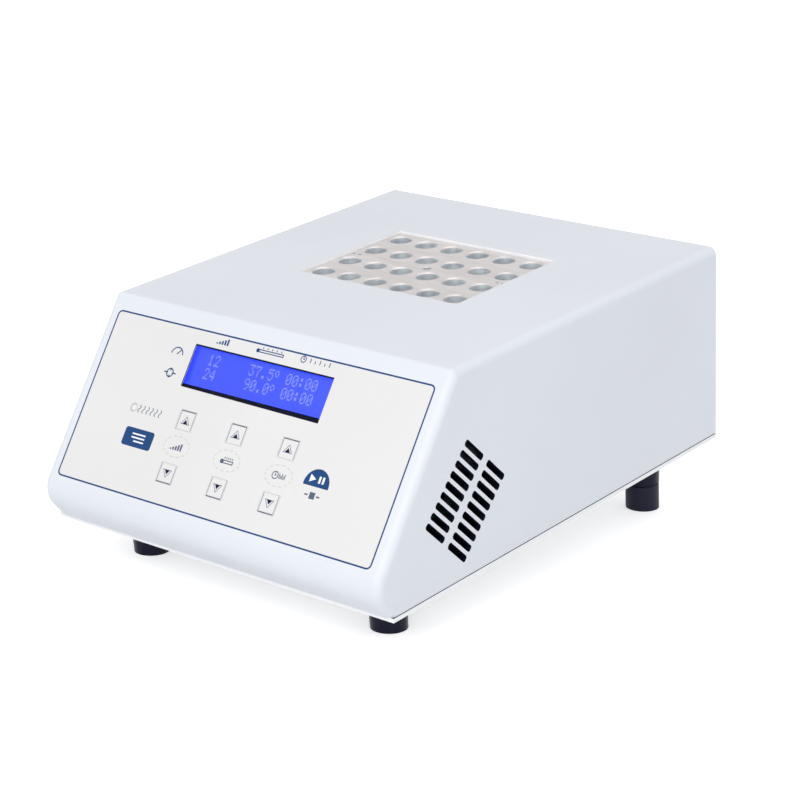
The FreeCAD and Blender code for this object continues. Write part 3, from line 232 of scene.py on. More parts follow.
FONT = {
    "0": ("01110", "10001", "10011", "10101", "11001", "10001", "01110"),
    "1": ("00100", "01100", "00100", "00100", "00100", "00100", "01110"),
    "2": ("01110", "10001", "00001", "00010", "00100", "01000", "11111"),
    "3": ("11111", "00010", "00100", "00010", "00001", "10001", "01110"),
    "4": ("00010", "00110", "01010", "10010", "11111", "00010", "00010"),
    "5": ("11111", "10000", "11110", "00001", "00001", "10001", "01110"),
    "7": ("11111", "10001", "00010", "00100", "00100", "00100", "00100"),
    "9": ("01110", "10001", "10001", "01111", "00001", "00010", "01100"),
    ":": ("00000", "01100", "01100", "00000", "01100", "01100", "00000"),
    ".": ("00000", "00000", "00000", "00000", "00000", "01100", "01100"),
    "*": ("01100", "10010", "10010", "01100", "00000", "00000", "00000"),
}

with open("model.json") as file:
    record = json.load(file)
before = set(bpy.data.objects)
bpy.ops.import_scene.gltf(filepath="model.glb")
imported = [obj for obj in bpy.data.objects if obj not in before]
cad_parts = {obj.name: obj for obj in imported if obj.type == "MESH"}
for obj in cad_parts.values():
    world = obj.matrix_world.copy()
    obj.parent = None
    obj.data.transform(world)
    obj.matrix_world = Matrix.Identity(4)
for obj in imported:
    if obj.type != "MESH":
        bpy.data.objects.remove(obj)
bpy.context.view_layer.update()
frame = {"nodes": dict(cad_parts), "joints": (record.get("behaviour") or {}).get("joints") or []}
nodes = frame["nodes"]


def case_frame():
    """The case's own frame: it leans forward, with its origin at the cover's lower front edge."""
    lift = next(joint for joint in frame["joints"] if joint["name"] == "block_lift")
    _, y, z = lift["axis"]
    lean = math.atan2(-y, z)
    low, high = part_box("base_plate")
    origin_y = high[1] / MM - COVER_DEPTH * math.cos(lean) - PLATE_THICKNESS * math.sin(lean)
    origin_z = low[2] / MM - PLATE_FRONT * math.sin(lean) + PLATE_THICKNESS * math.cos(lean)
    return Matrix.Translation((0, origin_y, origin_z)) @ Matrix.Rotation(lean, 4, "X")


CASE = case_frame()
AIM = CASE @ Vector(AIM_IN_CASE)
PANEL = (
    CASE @ Matrix.Translation((0, TOP_FRONT, COVER_HEIGHT))
    @ Matrix.Rotation(math.radians(SLOPE_ANGLE), 4, "X")
)
UPRIGHT = CASE.to_3x3() @ Vector((0, 0, 1))


# Materials

def shader_of(material):
    return next(n for n in material.node_tree.nodes if n.type == "BSDF_PRINCIPLED")


def new_material(name, colour, roughness, **settings):
    material = bpy.data.materials.new(name)
    material.use_nodes = True
    shader = shader_of(material)
    shader.inputs["Base Color"].default_value = (*colour, 1)
    shader.inputs["Roughness"].default_value = roughness
    for setting, value in settings.items():
        shader.inputs[setting.replace("_", " ")].default_value = value
    return material


def noise(material, scale, detail=4.0, stretch=(1, 1, 1)):
    """A noise texture on the object's own coordinates, stretched where the grain runs."""
    tree = material.node_tree
    coords = tree.nodes.new("ShaderNodeTexCoord")
    mapping = tree.nodes.new("ShaderNodeMapping")
    mapping.inputs["Scale"].default_value = stretch
    texture = tree.nodes.new("ShaderNodeTexNoise")
    texture.inputs["Scale"].default_value = scale
    texture.inputs["Detail"].default_value = detail
    tree.links.new(coords.outputs["Object"], mapping.inputs["Vector"])
    tree.links.new(mapping.outputs["Vector"], texture.inputs["Vector"])
    return texture


def add_relief(material, scale, height, detail=4.0, stretch=(1, 1, 1)):
    """Fine surface relief, its height in millimetres."""
    tree = material.node_tree
    texture = noise(material, scale, detail, stretch)
    bump = tree.nodes.new("ShaderNodeBump")
    bump.inputs["Strength"].default_value = 1.0
    bump.inputs["Distance"].default_value = height * MM
    tree.links.new(texture.outputs["Fac"], bump.inputs["Height"])
    tree.links.new(bump.outputs["Normal"], shader_of(material).inputs["Normal"])


def add_mottle(material, socket, low, high, scale, stretch=(1, 1, 1)):
    """Slow variation of one input between two values, colours or numbers."""
    tree = material.node_tree
    texture = noise(material, scale, 3.0, stretch)
    if isinstance(low, tuple):
        ramp = tree.nodes.new("ShaderNodeValToRGB")
        ramp.color_ramp.elements[0].position = MOTTLE_LOW
        ramp.color_ramp.elements[1].position = MOTTLE_HIGH
        ramp.color_ramp.elements[0].color = (*low, 1)
        ramp.color_ramp.elements[1].color = (*high, 1)
        tree.links.new(texture.outputs["Fac"], ramp.inputs["Fac"])
        tree.links.new(ramp.outputs["Color"], shader_of(material).inputs[socket])
    else:
        spread = tree.nodes.new("ShaderNodeMapRange")
        spread.inputs["From Min"].default_value = MOTTLE_LOW
        spread.inputs["From Max"].default_value = MOTTLE_HIGH
        spread.inputs["To Min"].default_value = low
        spread.inputs["To Max"].default_value = high
        tree.links.new(texture.outputs["Fac"], spread.inputs["Value"])
        tree.links.new(spread.outputs["Result"], shader_of(material).inputs[socket])


def shade(colour, factor):
    return tuple(min(1.0, part * factor) for part in colour)


def plastic(name, colour, roughness, grain=900, relief=0.012, shine=0.5):
    """Moulded plastic or powder coat: fine grain, and colour and gloss that vary a little."""
    material = new_material(name, colour, roughness, Specular_IOR_Level=shine)
    add_relief(material, grain, relief)
    add_mottle(material, "Base Color", shade(colour, 0.975), shade(colour, 1.015), 9)
    add_mottle(material, "Roughness", roughness - 0.04, roughness + 0.05, 30)
    return material


def metal(name, colour, roughness, stretch=(1, 1, 1), grain=1500):
    """Machined or drawn metal, with its grain along one way."""
    material = new_material(name, colour, roughness, Metallic=1.0)
    add_relief(material, grain, 0.004, stretch=stretch)
    add_mottle(material, "Base Color", shade(colour, 0.92), shade(colour, 1.06), 60, stretch)
    add_mottle(material, "Roughness", roughness - 0.06, roughness + 0.08, 90, stretch)
    return material


CASE_WHITE = (0.72, 0.75, 0.805)
FILM_WHITE = (0.73, 0.725, 0.725)
INK_BLUE = (0.015, 0.065, 0.2)
INK_GREY = (0.1, 0.13, 0.19)

case_paint = plastic("case_paint", CASE_WHITE, 0.42, shine=0.3)
# Painted light: a brighter white than the case paint, for the walls of the block's opening
rim_painted_light = plastic("rim_painted_light", (0.93, 0.93, 0.94), 0.4)
plate_paint = plastic("plate_paint", (0.86, 0.88, 0.91), 0.42, grain=1400)
film = plastic("film", FILM_WHITE, 0.42, grain=2600, relief=0.005)
blue_ink = plastic("blue_ink", INK_BLUE, 0.4, grain=2600, relief=0.004, shine=0.12)
grey_ink = plastic("grey_ink", INK_GREY, 0.45, grain=2600, relief=0.004, shine=0.12)
soft_ink = plastic("soft_ink", (0.24, 0.26, 0.35), 0.45, grain=2600, relief=0.004, shine=0.12)
pale_ink = plastic("pale_ink", (0.56, 0.55, 0.57), 0.45, grain=2600, relief=0.004)
dark_ink = plastic("dark_ink", (0.01, 0.014, 0.05), 0.45, grain=2600, relief=0.004, shine=0.12)
white_ink = plastic("white_ink", (0.85, 0.87, 0.9), 0.45, grain=2600, relief=0.004)
# Black of the display bezel, and painted shade of the recess round the display window
black_trim_and_painted_shade = plastic("black_trim_and_painted_shade", (0.004, 0.005, 0.02), 0.35, shine=0.08)
# Painted shade: near-black for the vents' walls and the base plate's top, seen through the vents
painted_vent_shade = plastic("painted_vent_shade", (0.006, 0.007, 0.02), 0.6, shine=0.1)
black_plastic = plastic("black_plastic", (0.018, 0.019, 0.024), 0.4, shine=0.3)
foot_gloss = plastic("foot_gloss", (0.004, 0.005, 0.022), 0.1, grain=500, relief=0.003, shine=0.16)
foot_matt = plastic("foot_matt", (0.012, 0.013, 0.03), 0.5, grain=1800, relief=0.02, shine=0.2)
board_green = plastic("board_green", (0.02, 0.13, 0.06), 0.35)
terminal_green = plastic("terminal_green", (0.05, 0.3, 0.12), 0.4)
capacitor_sleeve = plastic("capacitor_sleeve", (0.02, 0.04, 0.16), 0.25)
heater_rubber = plastic("heater_rubber", (0.42, 0.1, 0.05), 0.6)
seal_rubber = plastic("seal_rubber", (0.72, 0.72, 0.7), 0.6)
wool = plastic("wool", (0.75, 0.74, 0.68), 0.95, grain=260, relief=0.5)
block_metal = metal("block_metal", (0.84, 0.8, 0.8), 0.4, stretch=(1, 6, 1))
# Bore walls: grain along the bore is real; their lighter, bluer colour than the block's face is
# painted light
bore_metal_painted_light = metal("bore_metal_painted_light", (0.9, 0.94, 1.0), 0.5, stretch=(1, 1, 6))
plain_aluminium = metal("plain_aluminium", (0.62, 0.63, 0.65), 0.36, stretch=(1, 8, 1))
plated_steel = metal("plated_steel", (0.5, 0.51, 0.53), 0.28)
lacquered_core = metal("lacquered_core", (0.06, 0.06, 0.07), 0.45, stretch=(8, 1, 1))
copper = metal("copper", (0.6, 0.25, 0.1), 0.32, stretch=(1, 1, 14))
brass = metal("brass", (0.72, 0.5, 0.22), 0.28)
lamp_lens = plastic("lamp_lens", (0.78, 0.77, 0.76), 0.2, grain=500, relief=0.003)


def clear_material(name, colour, roughness, refraction):
    """Clear glass or plastic."""
    material = new_material(name, colour, roughness, Transmission_Weight=1.0, IOR=refraction)
    add_mottle(material, "Roughness", roughness, roughness + 0.03, 40)
    return material


pane_clear = clear_material("pane_clear", (0.96, 0.97, 1.0), 0.03, 1.12)
fuse_glass = clear_material("fuse_glass", (0.95, 0.98, 0.97), 0.02, 1.47)


def lit_material(name, colour, strength, dim=0.82):
    """A lit surface whose brightness varies a little from place to place."""
    material = new_material(name, shade(colour, 0.3), 0.3)
    add_mottle(material, "Emission Color", shade(colour, dim), colour, 26)
    shader_of(material).inputs["Emission Strength"].default_value = strength
    return material


display_blue = lit_material("display_blue", (0.032, 0.07, 0.95), 0.95)
display_dots = lit_material("display_dots", (0.24, 0.29, 0.72), 0.95)

NODE_MATERIALS = {
    case_paint: ["top_cover"],
    plate_paint: ["base_plate", "rear_panel"],
    film: [
        "front_overlay", *(f"key_{name}_{way}" for name in KEY_COLUMNS for way in ("up", "down")),
    ],
    blue_ink: ["key_program", "key_start_stop"],
    pane_clear: ["display_window"],
    black_trim_and_painted_shade: ["display_bezel"],
    display_blue: ["display_glass", "display_backlight"],
    board_green: ["display_board", "keypad_board", "control_board"],
    black_plastic: [
        "key_switches", "triac", "thermal_cutout", "inlet_socket", "fuse_drawer", "power_switch",
        "switch_rocker",
    ],
    lamp_lens: ["status_lamp"],
    plain_aluminium: ["block_well", "clamp_plate", "triac_heat_sink"],
    seal_rubber: ["well_gasket"],
    heater_rubber: ["heater_mat"],
    wool: ["insulation_jacket"],
    plated_steel: [
        "temperature_sensor", "well_spacers", "well_screws", "board_standoffs", "chassis_screws",
        "board_screws", "case_screws", "rear_panel_screws", "foot_studs", "foot_nuts",
        "riser_screws", "fuse_caps",
    ],
    lacquered_core: ["transformer_core"],
    copper: ["transformer_coil"],
    capacitor_sleeve: ["filter_capacitor"],
    terminal_green: ["terminal_block"],
    brass: ["inlet_pins", "switch_tabs"],
    fuse_glass: ["fuse_tube"],
}


def finish_nodes():
    """Each carried-over CAD node gets its one material."""
    for material, names in NODE_MATERIALS.items():
        for name in names:
            mesh = nodes[name].data
            mesh.materials.clear()
            mesh.materials.append(material)


def shade_floor():
    """Painted shade: the floor's upper faces are made near-black, as dark as they look through the
    vents.
    """
    floor = nodes["base_plate"].data
    floor.materials.append(painted_vent_shade)
    for polygon in floor.polygons:
        if polygon.normal.dot(UPRIGHT) > FACES_UP:
            polygon.material_index = 1


def is_slot_wall(normal, middle):
    """Whether a face of the cover is a wall of a side vent; its middle is a case point."""
    in_wall = COVER_HALF_WIDTH - WALL < abs(middle.x) < COVER_HALF_WIDTH - FACE_MARGIN
    along = VENT_LOW[0] < middle.y < VENT_HIGH[0]
    upward = VENT_LOW[1] < middle.z < VENT_HIGH[1]
    return abs(normal.x) < FACES_ASIDE and in_wall and along and upward


def is_opening_rim(normal, middle):
    """Whether a face of the cover is a wall of the block's opening."""
    in_top = RIM_LOW < middle.z < RIM_HIGH
    near = abs(middle.x) < BLOCK_LENGTH and abs(middle.y - BLOCK_CENTRE) < BLOCK_BREADTH
    return abs(normal.dot(UPRIGHT)) < FACES_ASIDE and in_top and near


def shade_cover():
    """Painted shade on the vents' own walls, which are made dark, and painted light on the rim of
    the block's opening, which is made bright.
    """
    cover = nodes["top_cover"]
    to_case = CASE.inverted() @ Matrix.Scale(1 / MM, 4) @ cover.matrix_world
    cover.data.materials.append(painted_vent_shade)
    cover.data.materials.append(rim_painted_light)
    for polygon in cover.data.polygons:
        middle = to_case @ polygon.center
        if is_slot_wall(polygon.normal, middle):
            polygon.material_index = 1
        elif is_opening_rim(polygon.normal, middle):
            polygon.material_index = 2


# Meshes

def mesh_object(name, points, faces, material, body):
    """A mesh from points in millimetres in the part's frame, riding on a body."""
    mesh = bpy.data.meshes.new(name)
    mesh.from_pydata([tuple(Vector(point) * MM) for point in points], [], faces)
    mesh.validate()
    piece = bpy.data.objects.new(name, mesh)
    bpy.context.collection.objects.link(piece)
    mesh.materials.append(material)
    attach(piece, body)
    return piece


def printed(name, shapes, material, body="case", lift=INK_LIFT):
    """Flat printed shapes on the panel, each a closed outline of (right, down) points."""
    points = []
    faces = []
    for shape in shapes:
        first = len(points)
        points += [PANEL @ Vector((x, -down, lift)) for x, down in shape]
        faces.append(tuple(range(first, len(points))))
    piece = mesh_object(name, points, faces, material, body)
    face_outwards(piece)
    return piece


def face_outwards(piece):
    """Turns each face of a printed shape away from the panel."""
    outward = PANEL.to_3x3() @ Vector((0, 0, 1))
    for polygon in piece.data.polygons:
        if polygon.normal.dot(outward) < 0:
            polygon.flip()
    piece.data.update()


def line(points, width, closed=False):
    """A printed line of even width with mitred corners, as four-sided shapes."""
    count = len(points)
    sides = []
    for number, point in enumerate(points):
        here = Vector(point)
        before = Vector(points[number - 1]) if closed or number else None
        after = Vector(points[(number + 1) % count]) if closed or number < count - 1 else None
        ways = []
        if before is not None:
            ways.append((here - before).normalized())
        if after is not None:
            ways.append((after - here).normalized())
        along = sum(ways, Vector((0, 0))).normalized()
        across = Vector((-along.y, along.x))
        stretch = 1 / max(0.3, abs(across.dot(Vector((-ways[0].y, ways[0].x)))))
        offset = across * width / 2 * stretch
        sides.append((here + offset, here - offset))
    last = count if closed else count - 1
    shapes = []
    for number in range(last):
        left, right = sides[number]
        next_left, next_right = sides[(number + 1) % count]
        shapes.append([tuple(left), tuple(next_left), tuple(next_right), tuple(right)])
    return shapes


def arc(centre, radius_x, radius_y, start, end, steps):
    """Points along an arc, its angles in degrees, counted from the right."""
    points = []
    for step in range(steps + 1):
        angle = math.radians(start + (end - start) * step / steps)
        x = centre[0] + radius_x * math.cos(angle)
        down = centre[1] - radius_y * math.sin(angle)
        points.append((x, down))
    return points


def box_shape(left, right, top, bottom):
    return [(left, top), (right, top), (right, bottom), (left, bottom)]


def print_border():
    """The line round the film, with rounded corners."""
    inset = FILM_BORDER / 2 + BORDER_GAP
    left, right = -FILM_HALF_WIDTH + inset, FILM_HALF_WIDTH - inset
    top, bottom = FILM_TOP + inset, FILM_BOTTOM - inset
    radius = FILM_CORNER
    outline = []
    for x, down, start in (
        (right - radius, top + radius, 90), (right - radius, bottom - radius, 0),
        (left + radius, bottom - radius, -90), (left + radius, top + radius, -180),
    ):
        outline += arc((x, down), radius, radius, start, start - 90, 6)
    printed("panel_border", line(outline, FILM_BORDER, closed=True), blue_ink)


def paint_window_recess_shade():
    """Painted shade of the window's recess, laid flat on the film: a black strip below that widens
    to the right, thin lines elsewhere.
    """
    left, right = -WINDOW_HALF_WIDTH, WINDOW_HALF_WIDTH
    lower = [
        (left, WINDOW_BOTTOM - WINDOW_OVERLAP), (right, WINDOW_BOTTOM - WINDOW_OVERLAP),
        (right, WINDOW_BOTTOM + WINDOW_LOWER_RIGHT), (left, WINDOW_BOTTOM + WINDOW_LOWER_LEFT),
    ]
    upper = box_shape(left, right, WINDOW_TOP - WINDOW_THIN_EDGE, WINDOW_TOP + WINDOW_OVERLAP)
    side = box_shape(left - WINDOW_OVERLAP, left + WINDOW_OVERLAP, WINDOW_TOP, WINDOW_BOTTOM)
    printed("window_recess_shade", [lower, upper, side], black_trim_and_painted_shade)


def step_icon(x, down, length, height):
    """Rising bars."""
    pitch = length / ICON_PARTS
    left = x - length / 2
    rise = BAR_RISE / (ICON_PARTS - 1)
    return [
        box_shape(
            left + pitch * (bar + BAR_LEFT_OF_PITCH), left + pitch * (bar + BAR_RIGHT_OF_PITCH),
            down + height * (FIRST_BAR - rise * bar), down + height * BAR_FOOT,
        )
        for bar in range(ICON_PARTS)
    ]


def mark_at(middle, top, bottom):
    """One upright mark of a scale."""
    return box_shape(middle - THIN_LINE / 2, middle + THIN_LINE / 2, top, bottom)


def temperature_icon(x, down, length, height):
    """A thermometer that lies on its side, with its scale."""
    bulb = height * BULB
    tube = bulb * TUBE_OF_BULB
    left = x - length / 2 + bulb
    right = x + length / 2
    axis = down + height * BULB_DOWN
    shapes = [arc((left, axis), bulb, bulb, 0, 360, 16)[:-1]]
    outline = [(left, axis - tube), (right, axis - tube), (right, axis + tube), (left, axis + tube)]
    shapes += line(outline, THIN_LINE)
    for mark in range(1, ICON_PARTS + 1):
        middle = left + (right - left) * mark / (ICON_PARTS + SCALE_END)
        shapes.append(mark_at(middle, down - height * SCALE_TOP, down - height * SCALE_BOTTOM))
    return shapes


def time_icon(x, down, length, height):
    """A clock and a row of marks after it."""
    radius = height * CLOCK
    left = x - length / 2 + radius
    shapes = line(arc((left, down), radius, radius, 0, 360, 24)[:-1], THIN_LINE, closed=True)
    hands = [
        (left, down - radius * LONG_HAND_OF_CLOCK), (left, down),
        (left + radius * SHORT_HAND_OF_CLOCK, down),
    ]
    shapes += line(hands, THIN_LINE)
    room = length - 2 * radius
    for mark in range(1, ICON_PARTS + 1):
        middle = left + radius + room * mark / (ICON_PARTS + MARKS_END)
        top = TALL_MARK if mark % 2 else SHORT_MARK
        shapes.append(mark_at(middle, down + height * top, down + height * MARK_FOOT))
    return shapes


ICONS = {"step": step_icon, "temperature": temperature_icon, "time": time_icon}


def print_headings():
    """Small pictures over the display's three groups of figures, and marks at its two rows."""
    shapes = []
    for name, (x, down, length) in HEADINGS.items():
        shapes += ICONS[name](x, down, length, HEADING_HEIGHT)
    x, down = MEASURED_MARK
    axis = (x, down + GAUGE_DROP)
    shapes += line(arc(axis, *GAUGE_RADII, 180, 0, 12), ICON_LINE)
    shapes += line([axis, (x + GAUGE_NEEDLE[0], down + GAUGE_NEEDLE[1])], ICON_LINE)
    x, down = TARGET_MARK
    ring = arc((x, down), TARGET_RADIUS, TARGET_RADIUS, 0, 360, 24)[:-1]
    shapes += line(ring, ICON_LINE, closed=True)
    for way in (-1, 1):
        shapes += line([(x + way * reach, down) for reach in TARGET_ACROSS], ICON_LINE)
        shapes += line([(x, down + way * reach) for reach in TARGET_DOWN], ICON_LINE)
    printed("headings", shapes, blue_ink)


def print_lamp_marks():
    """A ring round the lamp and waves beside it."""
    ring = line(arc(LAMP, LAMP_RING, LAMP_RING, 0, 360, 32)[:-1], LAMP_LINE, closed=True)
    printed("lamp_ring", ring, pale_ink)
    wave = []
    for column in range(WAVES):
        x = LAMP[0] + WAVE_START + WAVE_PITCH * column
        points = [
            (x + WAVE_SWING * math.sin(step * math.pi / 4), LAMP[1] - WAVE_TOP + step * WAVE_STEP)
            for step in range(WAVE_STEPS + 1)
        ]
        wave += line(points, WAVE_LINE)
    printed("lamp_marks", wave, grey_ink)


def print_ovals():
    """A dashed oval between each pair of arrow keys, with its picture."""
    dashes = []
    pictures = []
    step = 360 / OVAL_DASHES
    for name, x in KEY_COLUMNS.items():
        for dash in range(OVAL_DASHES):
            start = dash * step
            end = start + DASH_SHARE * step
            dash_points = arc((x, OVAL_DOWN), OVAL_HALF_WIDTH, OVAL_HALF_HEIGHT, start, end, 4)
            dashes += line(dash_points, FINE_LINE)
        pictures += ICONS[name](x, OVAL_DOWN, *OVAL_PICTURE)
    printed("ovals", dashes, pale_ink)
    printed("oval_pictures", pictures, grey_ink)


def print_arrow_keys():
    """A bracket open towards the oval on each key, with its arrow."""
    for name, x in KEY_COLUMNS.items():
        for way, down, sign in (("up", UP_KEY_DOWN, -1), ("down", DOWN_KEY_DOWN, 1)):
            key = f"key_{name}_{way}"
            far = down + sign * BRACKET_HALF_HEIGHT
            near = down - sign * BRACKET_HALF_HEIGHT
            left, right = x - BRACKET_HALF_WIDTH, x + BRACKET_HALF_WIDTH
            printed(f"{key}_edge", line([(left, far), (right, far)], THIN_LINE), grey_ink, body=key)
            sides = line([(left, near), (left, far)], FINE_LINE)
            sides += line([(right, near), (right, far)], FINE_LINE)
            base = down - sign * ARROW_FOOT
            outline = [
                (x - ARROW_OUTLINE, base), (x + ARROW_OUTLINE, base),
                (x, base + sign * ARROW_HEIGHT),
            ]
            sides += line(outline, FINE_LINE, closed=True)
            printed(f"{key}_sides", sides, soft_ink, body=key)
            arrow = [
                (x - ARROW_HALF_WIDTH, base), (x + ARROW_HALF_WIDTH, base),
                (x, base + sign * ARROW_FILL * ARROW_HEIGHT),
            ]
            printed(f"{key}_arrow", [arrow], dark_ink, body=key, lift=2 * INK_LIFT)


def print_function_keys():
    """Text lines on the program key, play and pause on the other, and a stop mark under it."""
    x, down = PROGRAM_KEY
    lines = []
    for row in range(PROGRAM_LINES):
        left = x - PROGRAM_LINE_REACH + PROGRAM_LINE_INDENT * (row == PROGRAM_LINES - 1)
        right = x + PROGRAM_LINE_REACH
        at = down + PROGRAM_LINE_PITCH * row
        lines.append(box_shape(left, right, at + PROGRAM_LINE_TOP, at + PROGRAM_LINE_BOTTOM))
    printed("key_program_mark", lines, white_ink, body="key_program")
    x, down = START_KEY
    marks = [[(x + across, down + along) for across, along in PLAY_MARK]]
    for start in PAUSE_LEFTS:
        left = x + start
        marks.append(box_shape(left, left + PAUSE_WIDTH, down + PAUSE_TOP, down + PAUSE_BOTTOM))
    printed("key_start_stop_mark", marks, white_ink, body="key_start_stop")
    middle = down + STOP_MARK_DOWN
    stop = [box_shape(
        x - STOP_MARK_HALF, x + STOP_MARK_HALF, middle - STOP_MARK_HALF, middle + STOP_MARK_HALF
    )]
    for way in (-1, 1):
        stop += line([(x + way * reach, middle) for reach in STOP_DASH], STOP_DASH_WIDTH)
    printed("stop_mark", stop, grey_ink)


def show_figures():
    """Figures in dots on the display's glass."""
    shapes = []
    for down, words in DISPLAY_ROWS.items():
        for start, word in zip(DISPLAY_COLUMNS, words):
            for number, figure in enumerate(word):
                left = start + number * CHARACTER_PITCH
                shapes += dots_of(FONT[figure], left, down)
    printed(
        "display_figures", shapes, display_dots, lift=INK_LIFT - GLASS_DEPTH
    )


def dots_of(pattern, left, top):
    width = DOT_PITCH_ACROSS * DOT_FILL
    height = DOT_PITCH_DOWN * DOT_FILL
    shapes = []
    for row, dots in enumerate(pattern):
        for column, dot in enumerate(dots):
            if dot == "1":
                x = left + column * DOT_PITCH_ACROSS
                down = top + row * DOT_PITCH_DOWN
                shapes.append(box_shape(x, x + width, down, down + height))
    return shapes


def turned(points, faces, profile, x, y, top):
    """Adds a turned pit: its profile is (radius, depth) from the rim to the tip."""
    rings = []
    for radius, depth in profile:
        first = len(points)
        for step in range(TURN_STEPS):
            angle = 2 * math.pi * step / TURN_STEPS
            points.append(Vector((
                x + radius * math.cos(angle), y + radius * math.sin(angle), top - depth
            )))
        rings.append(first)
    for upper, lower in zip(rings, rings[1:]):
        for step in range(TURN_STEPS):
            after = (step + 1) % TURN_STEPS
            faces.append((upper + step, upper + after, lower + after, lower + step))
    faces.append(tuple(rings[0] + step for step in reversed(range(TURN_STEPS))))
    faces.append(tuple(rings[-1] + step for step in range(TURN_STEPS)))


def well_places():
    """The wells' middles in the case's frame, row by row from the front."""
    for row in range(WELL_ROWS):
        for column in range(WELL_COLUMNS):
            yield (
                (column - (WELL_COLUMNS - 1) / 2) * WELL_PITCH_ACROSS,
                BLOCK_CENTRE + (row - (WELL_ROWS - 1) / 2) * WELL_PITCH_BACK,
            )


def make_block():
    """The machined block: chamfered wells with tapered ends, puller hole and probe holes."""
    top = COVER_HEIGHT - BLOCK_SINK
    points = []
    faces = []
    well = (
        (WELL_RADIUS + WELL_CHAMFER + CUT_OVER, -CUT_OVER), (WELL_RADIUS, WELL_CHAMFER),
        (WELL_RADIUS, WELL_STRAIGHT), (WELL_TIP, WELL_DEPTH),
    )
    for x, y in well_places():
        turned(points, faces, well, x, y, top)
    puller = (
        (PULLER_RADIUS + CUT_OVER + PULLER_CHAMFER, -CUT_OVER), (PULLER_RADIUS, PULLER_CHAMFER),
        (PULLER_RADIUS, PULLER_DEPTH),
    )
    turned(points, faces, puller, 0, BLOCK_CENTRE, top)
    probe = ((PROBE_RADIUS, -CUT_OVER), (PROBE_RADIUS, PROBE_DEPTH))
    for x in PROBE_PLACES:
        for side in (-1, 1):
            turned(points, faces, probe, side * x, BLOCK_CENTRE, top)
    cutter = mesh_object(
        "cutter", [CASE @ point for point in points], faces, block_metal, "lift_out_block",
    )
    make_normals_consistent(cutter)

    half_x, half_y = BLOCK_LENGTH / 2, BLOCK_BREADTH / 2
    corners = [
        Vector((x, BLOCK_CENTRE + y, z))
        for z in (top - BLOCK_HEIGHT, top)
        for x, y in ((-half_x, -half_y), (half_x, -half_y), (half_x, half_y), (-half_x, half_y))
    ]
    sides = [(0, 3, 2, 1), (4, 5, 6, 7), (0, 1, 5, 4), (1, 2, 6, 5), (2, 3, 7, 6), (3, 0, 4, 7)]
    block = mesh_object(
        "heating_block_machined", [CASE @ corner for corner in corners], sides, block_metal,
        "lift_out_block",
    )
    # The cutter's second material, a lighter and bluer copy of the block's metal as painted light,
    # stays on the walls that it leaves below the chamfers
    for piece in (block, cutter):
        piece.data.materials.append(bore_metal_painted_light)
    for polygon in cutter.data.polygons:
        depth = top - (CASE.inverted() @ (polygon.center / MM)).z
        polygon.material_index = int(depth > WELL_CHAMFER)
    bevel = block.modifiers.new("edges", "BEVEL")
    bevel.width = BLOCK_EDGE * MM
    bevel.segments = 2
    cut = block.modifiers.new("wells", "BOOLEAN")
    cut.object = cutter
    cut.solver = "EXACT"
    keep_result(block)
    bpy.data.objects.remove(cutter)
    smooth_by_angle(block, 35)
    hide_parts("heating_block")


def make_normals_consistent(piece):
    """Turns all faces of a closed piece outwards."""
    work = bmesh.new()
    work.from_mesh(piece.data)
    bmesh.ops.recalc_face_normals(work, faces=work.faces)
    work.to_mesh(piece.data)
    work.free()


def keep_result(piece):
    """Turns the piece's modifiers into its own mesh."""
    depsgraph = bpy.context.evaluated_depsgraph_get()
    result = bpy.data.meshes.new_from_object(piece.evaluated_get(depsgraph))
    piece.modifiers.clear()
    piece.data = result


def smooth_by_angle(piece, degrees):
    """Smooth shading, with edges sharper than the angle kept sharp."""
    limit = math.radians(degrees)
    work = bmesh.new()
    work.from_mesh(piece.data)
    for face in work.faces:
        face.smooth = True
    for edge in work.edges:
        sharp = len(edge.link_faces) != 2 or edge.calc_face_angle(math.pi) > limit
        edge.smooth = not sharp
    work.to_mesh(piece.data)
    work.free()


def foot(name, x, y, top, rings, material):
    """A turned foot on the case's upright, cut level with the bench if it reaches it.

    Each ring is (radius, case height), the last one None for the bench's level.
    """
    points = []
    faces = []
    for radius, height in rings:
        for step in range(TURN_STEPS):
            angle = 2 * math.pi * step / TURN_STEPS
            at = Vector((
                x + radius * math.cos(angle), y + radius * math.sin(angle),
                top if height is None else height,
            ))
            world = CASE @ at
            if height is None:
                down = CASE.to_3x3() @ Vector((0, 0, -1))
                world = world + down * (world.z / -down.z)
            points.append(world)
    for ring in range(len(rings) - 1):
        for step in range(TURN_STEPS):
            after = (step + 1) % TURN_STEPS
            low = (ring + 1) * TURN_STEPS
            high = ring * TURN_STEPS
            faces.append((high + step, low + step, low + after, high + after))
    faces.append(tuple(range(TURN_STEPS)))
    faces.append(tuple(reversed(range((len(rings) - 1) * TURN_STEPS, len(rings) * TURN_STEPS))))
    piece = mesh_object(name, points, faces, material, "case")
    make_normals_consistent(piece)
    smooth_by_angle(piece, 40)
    return piece


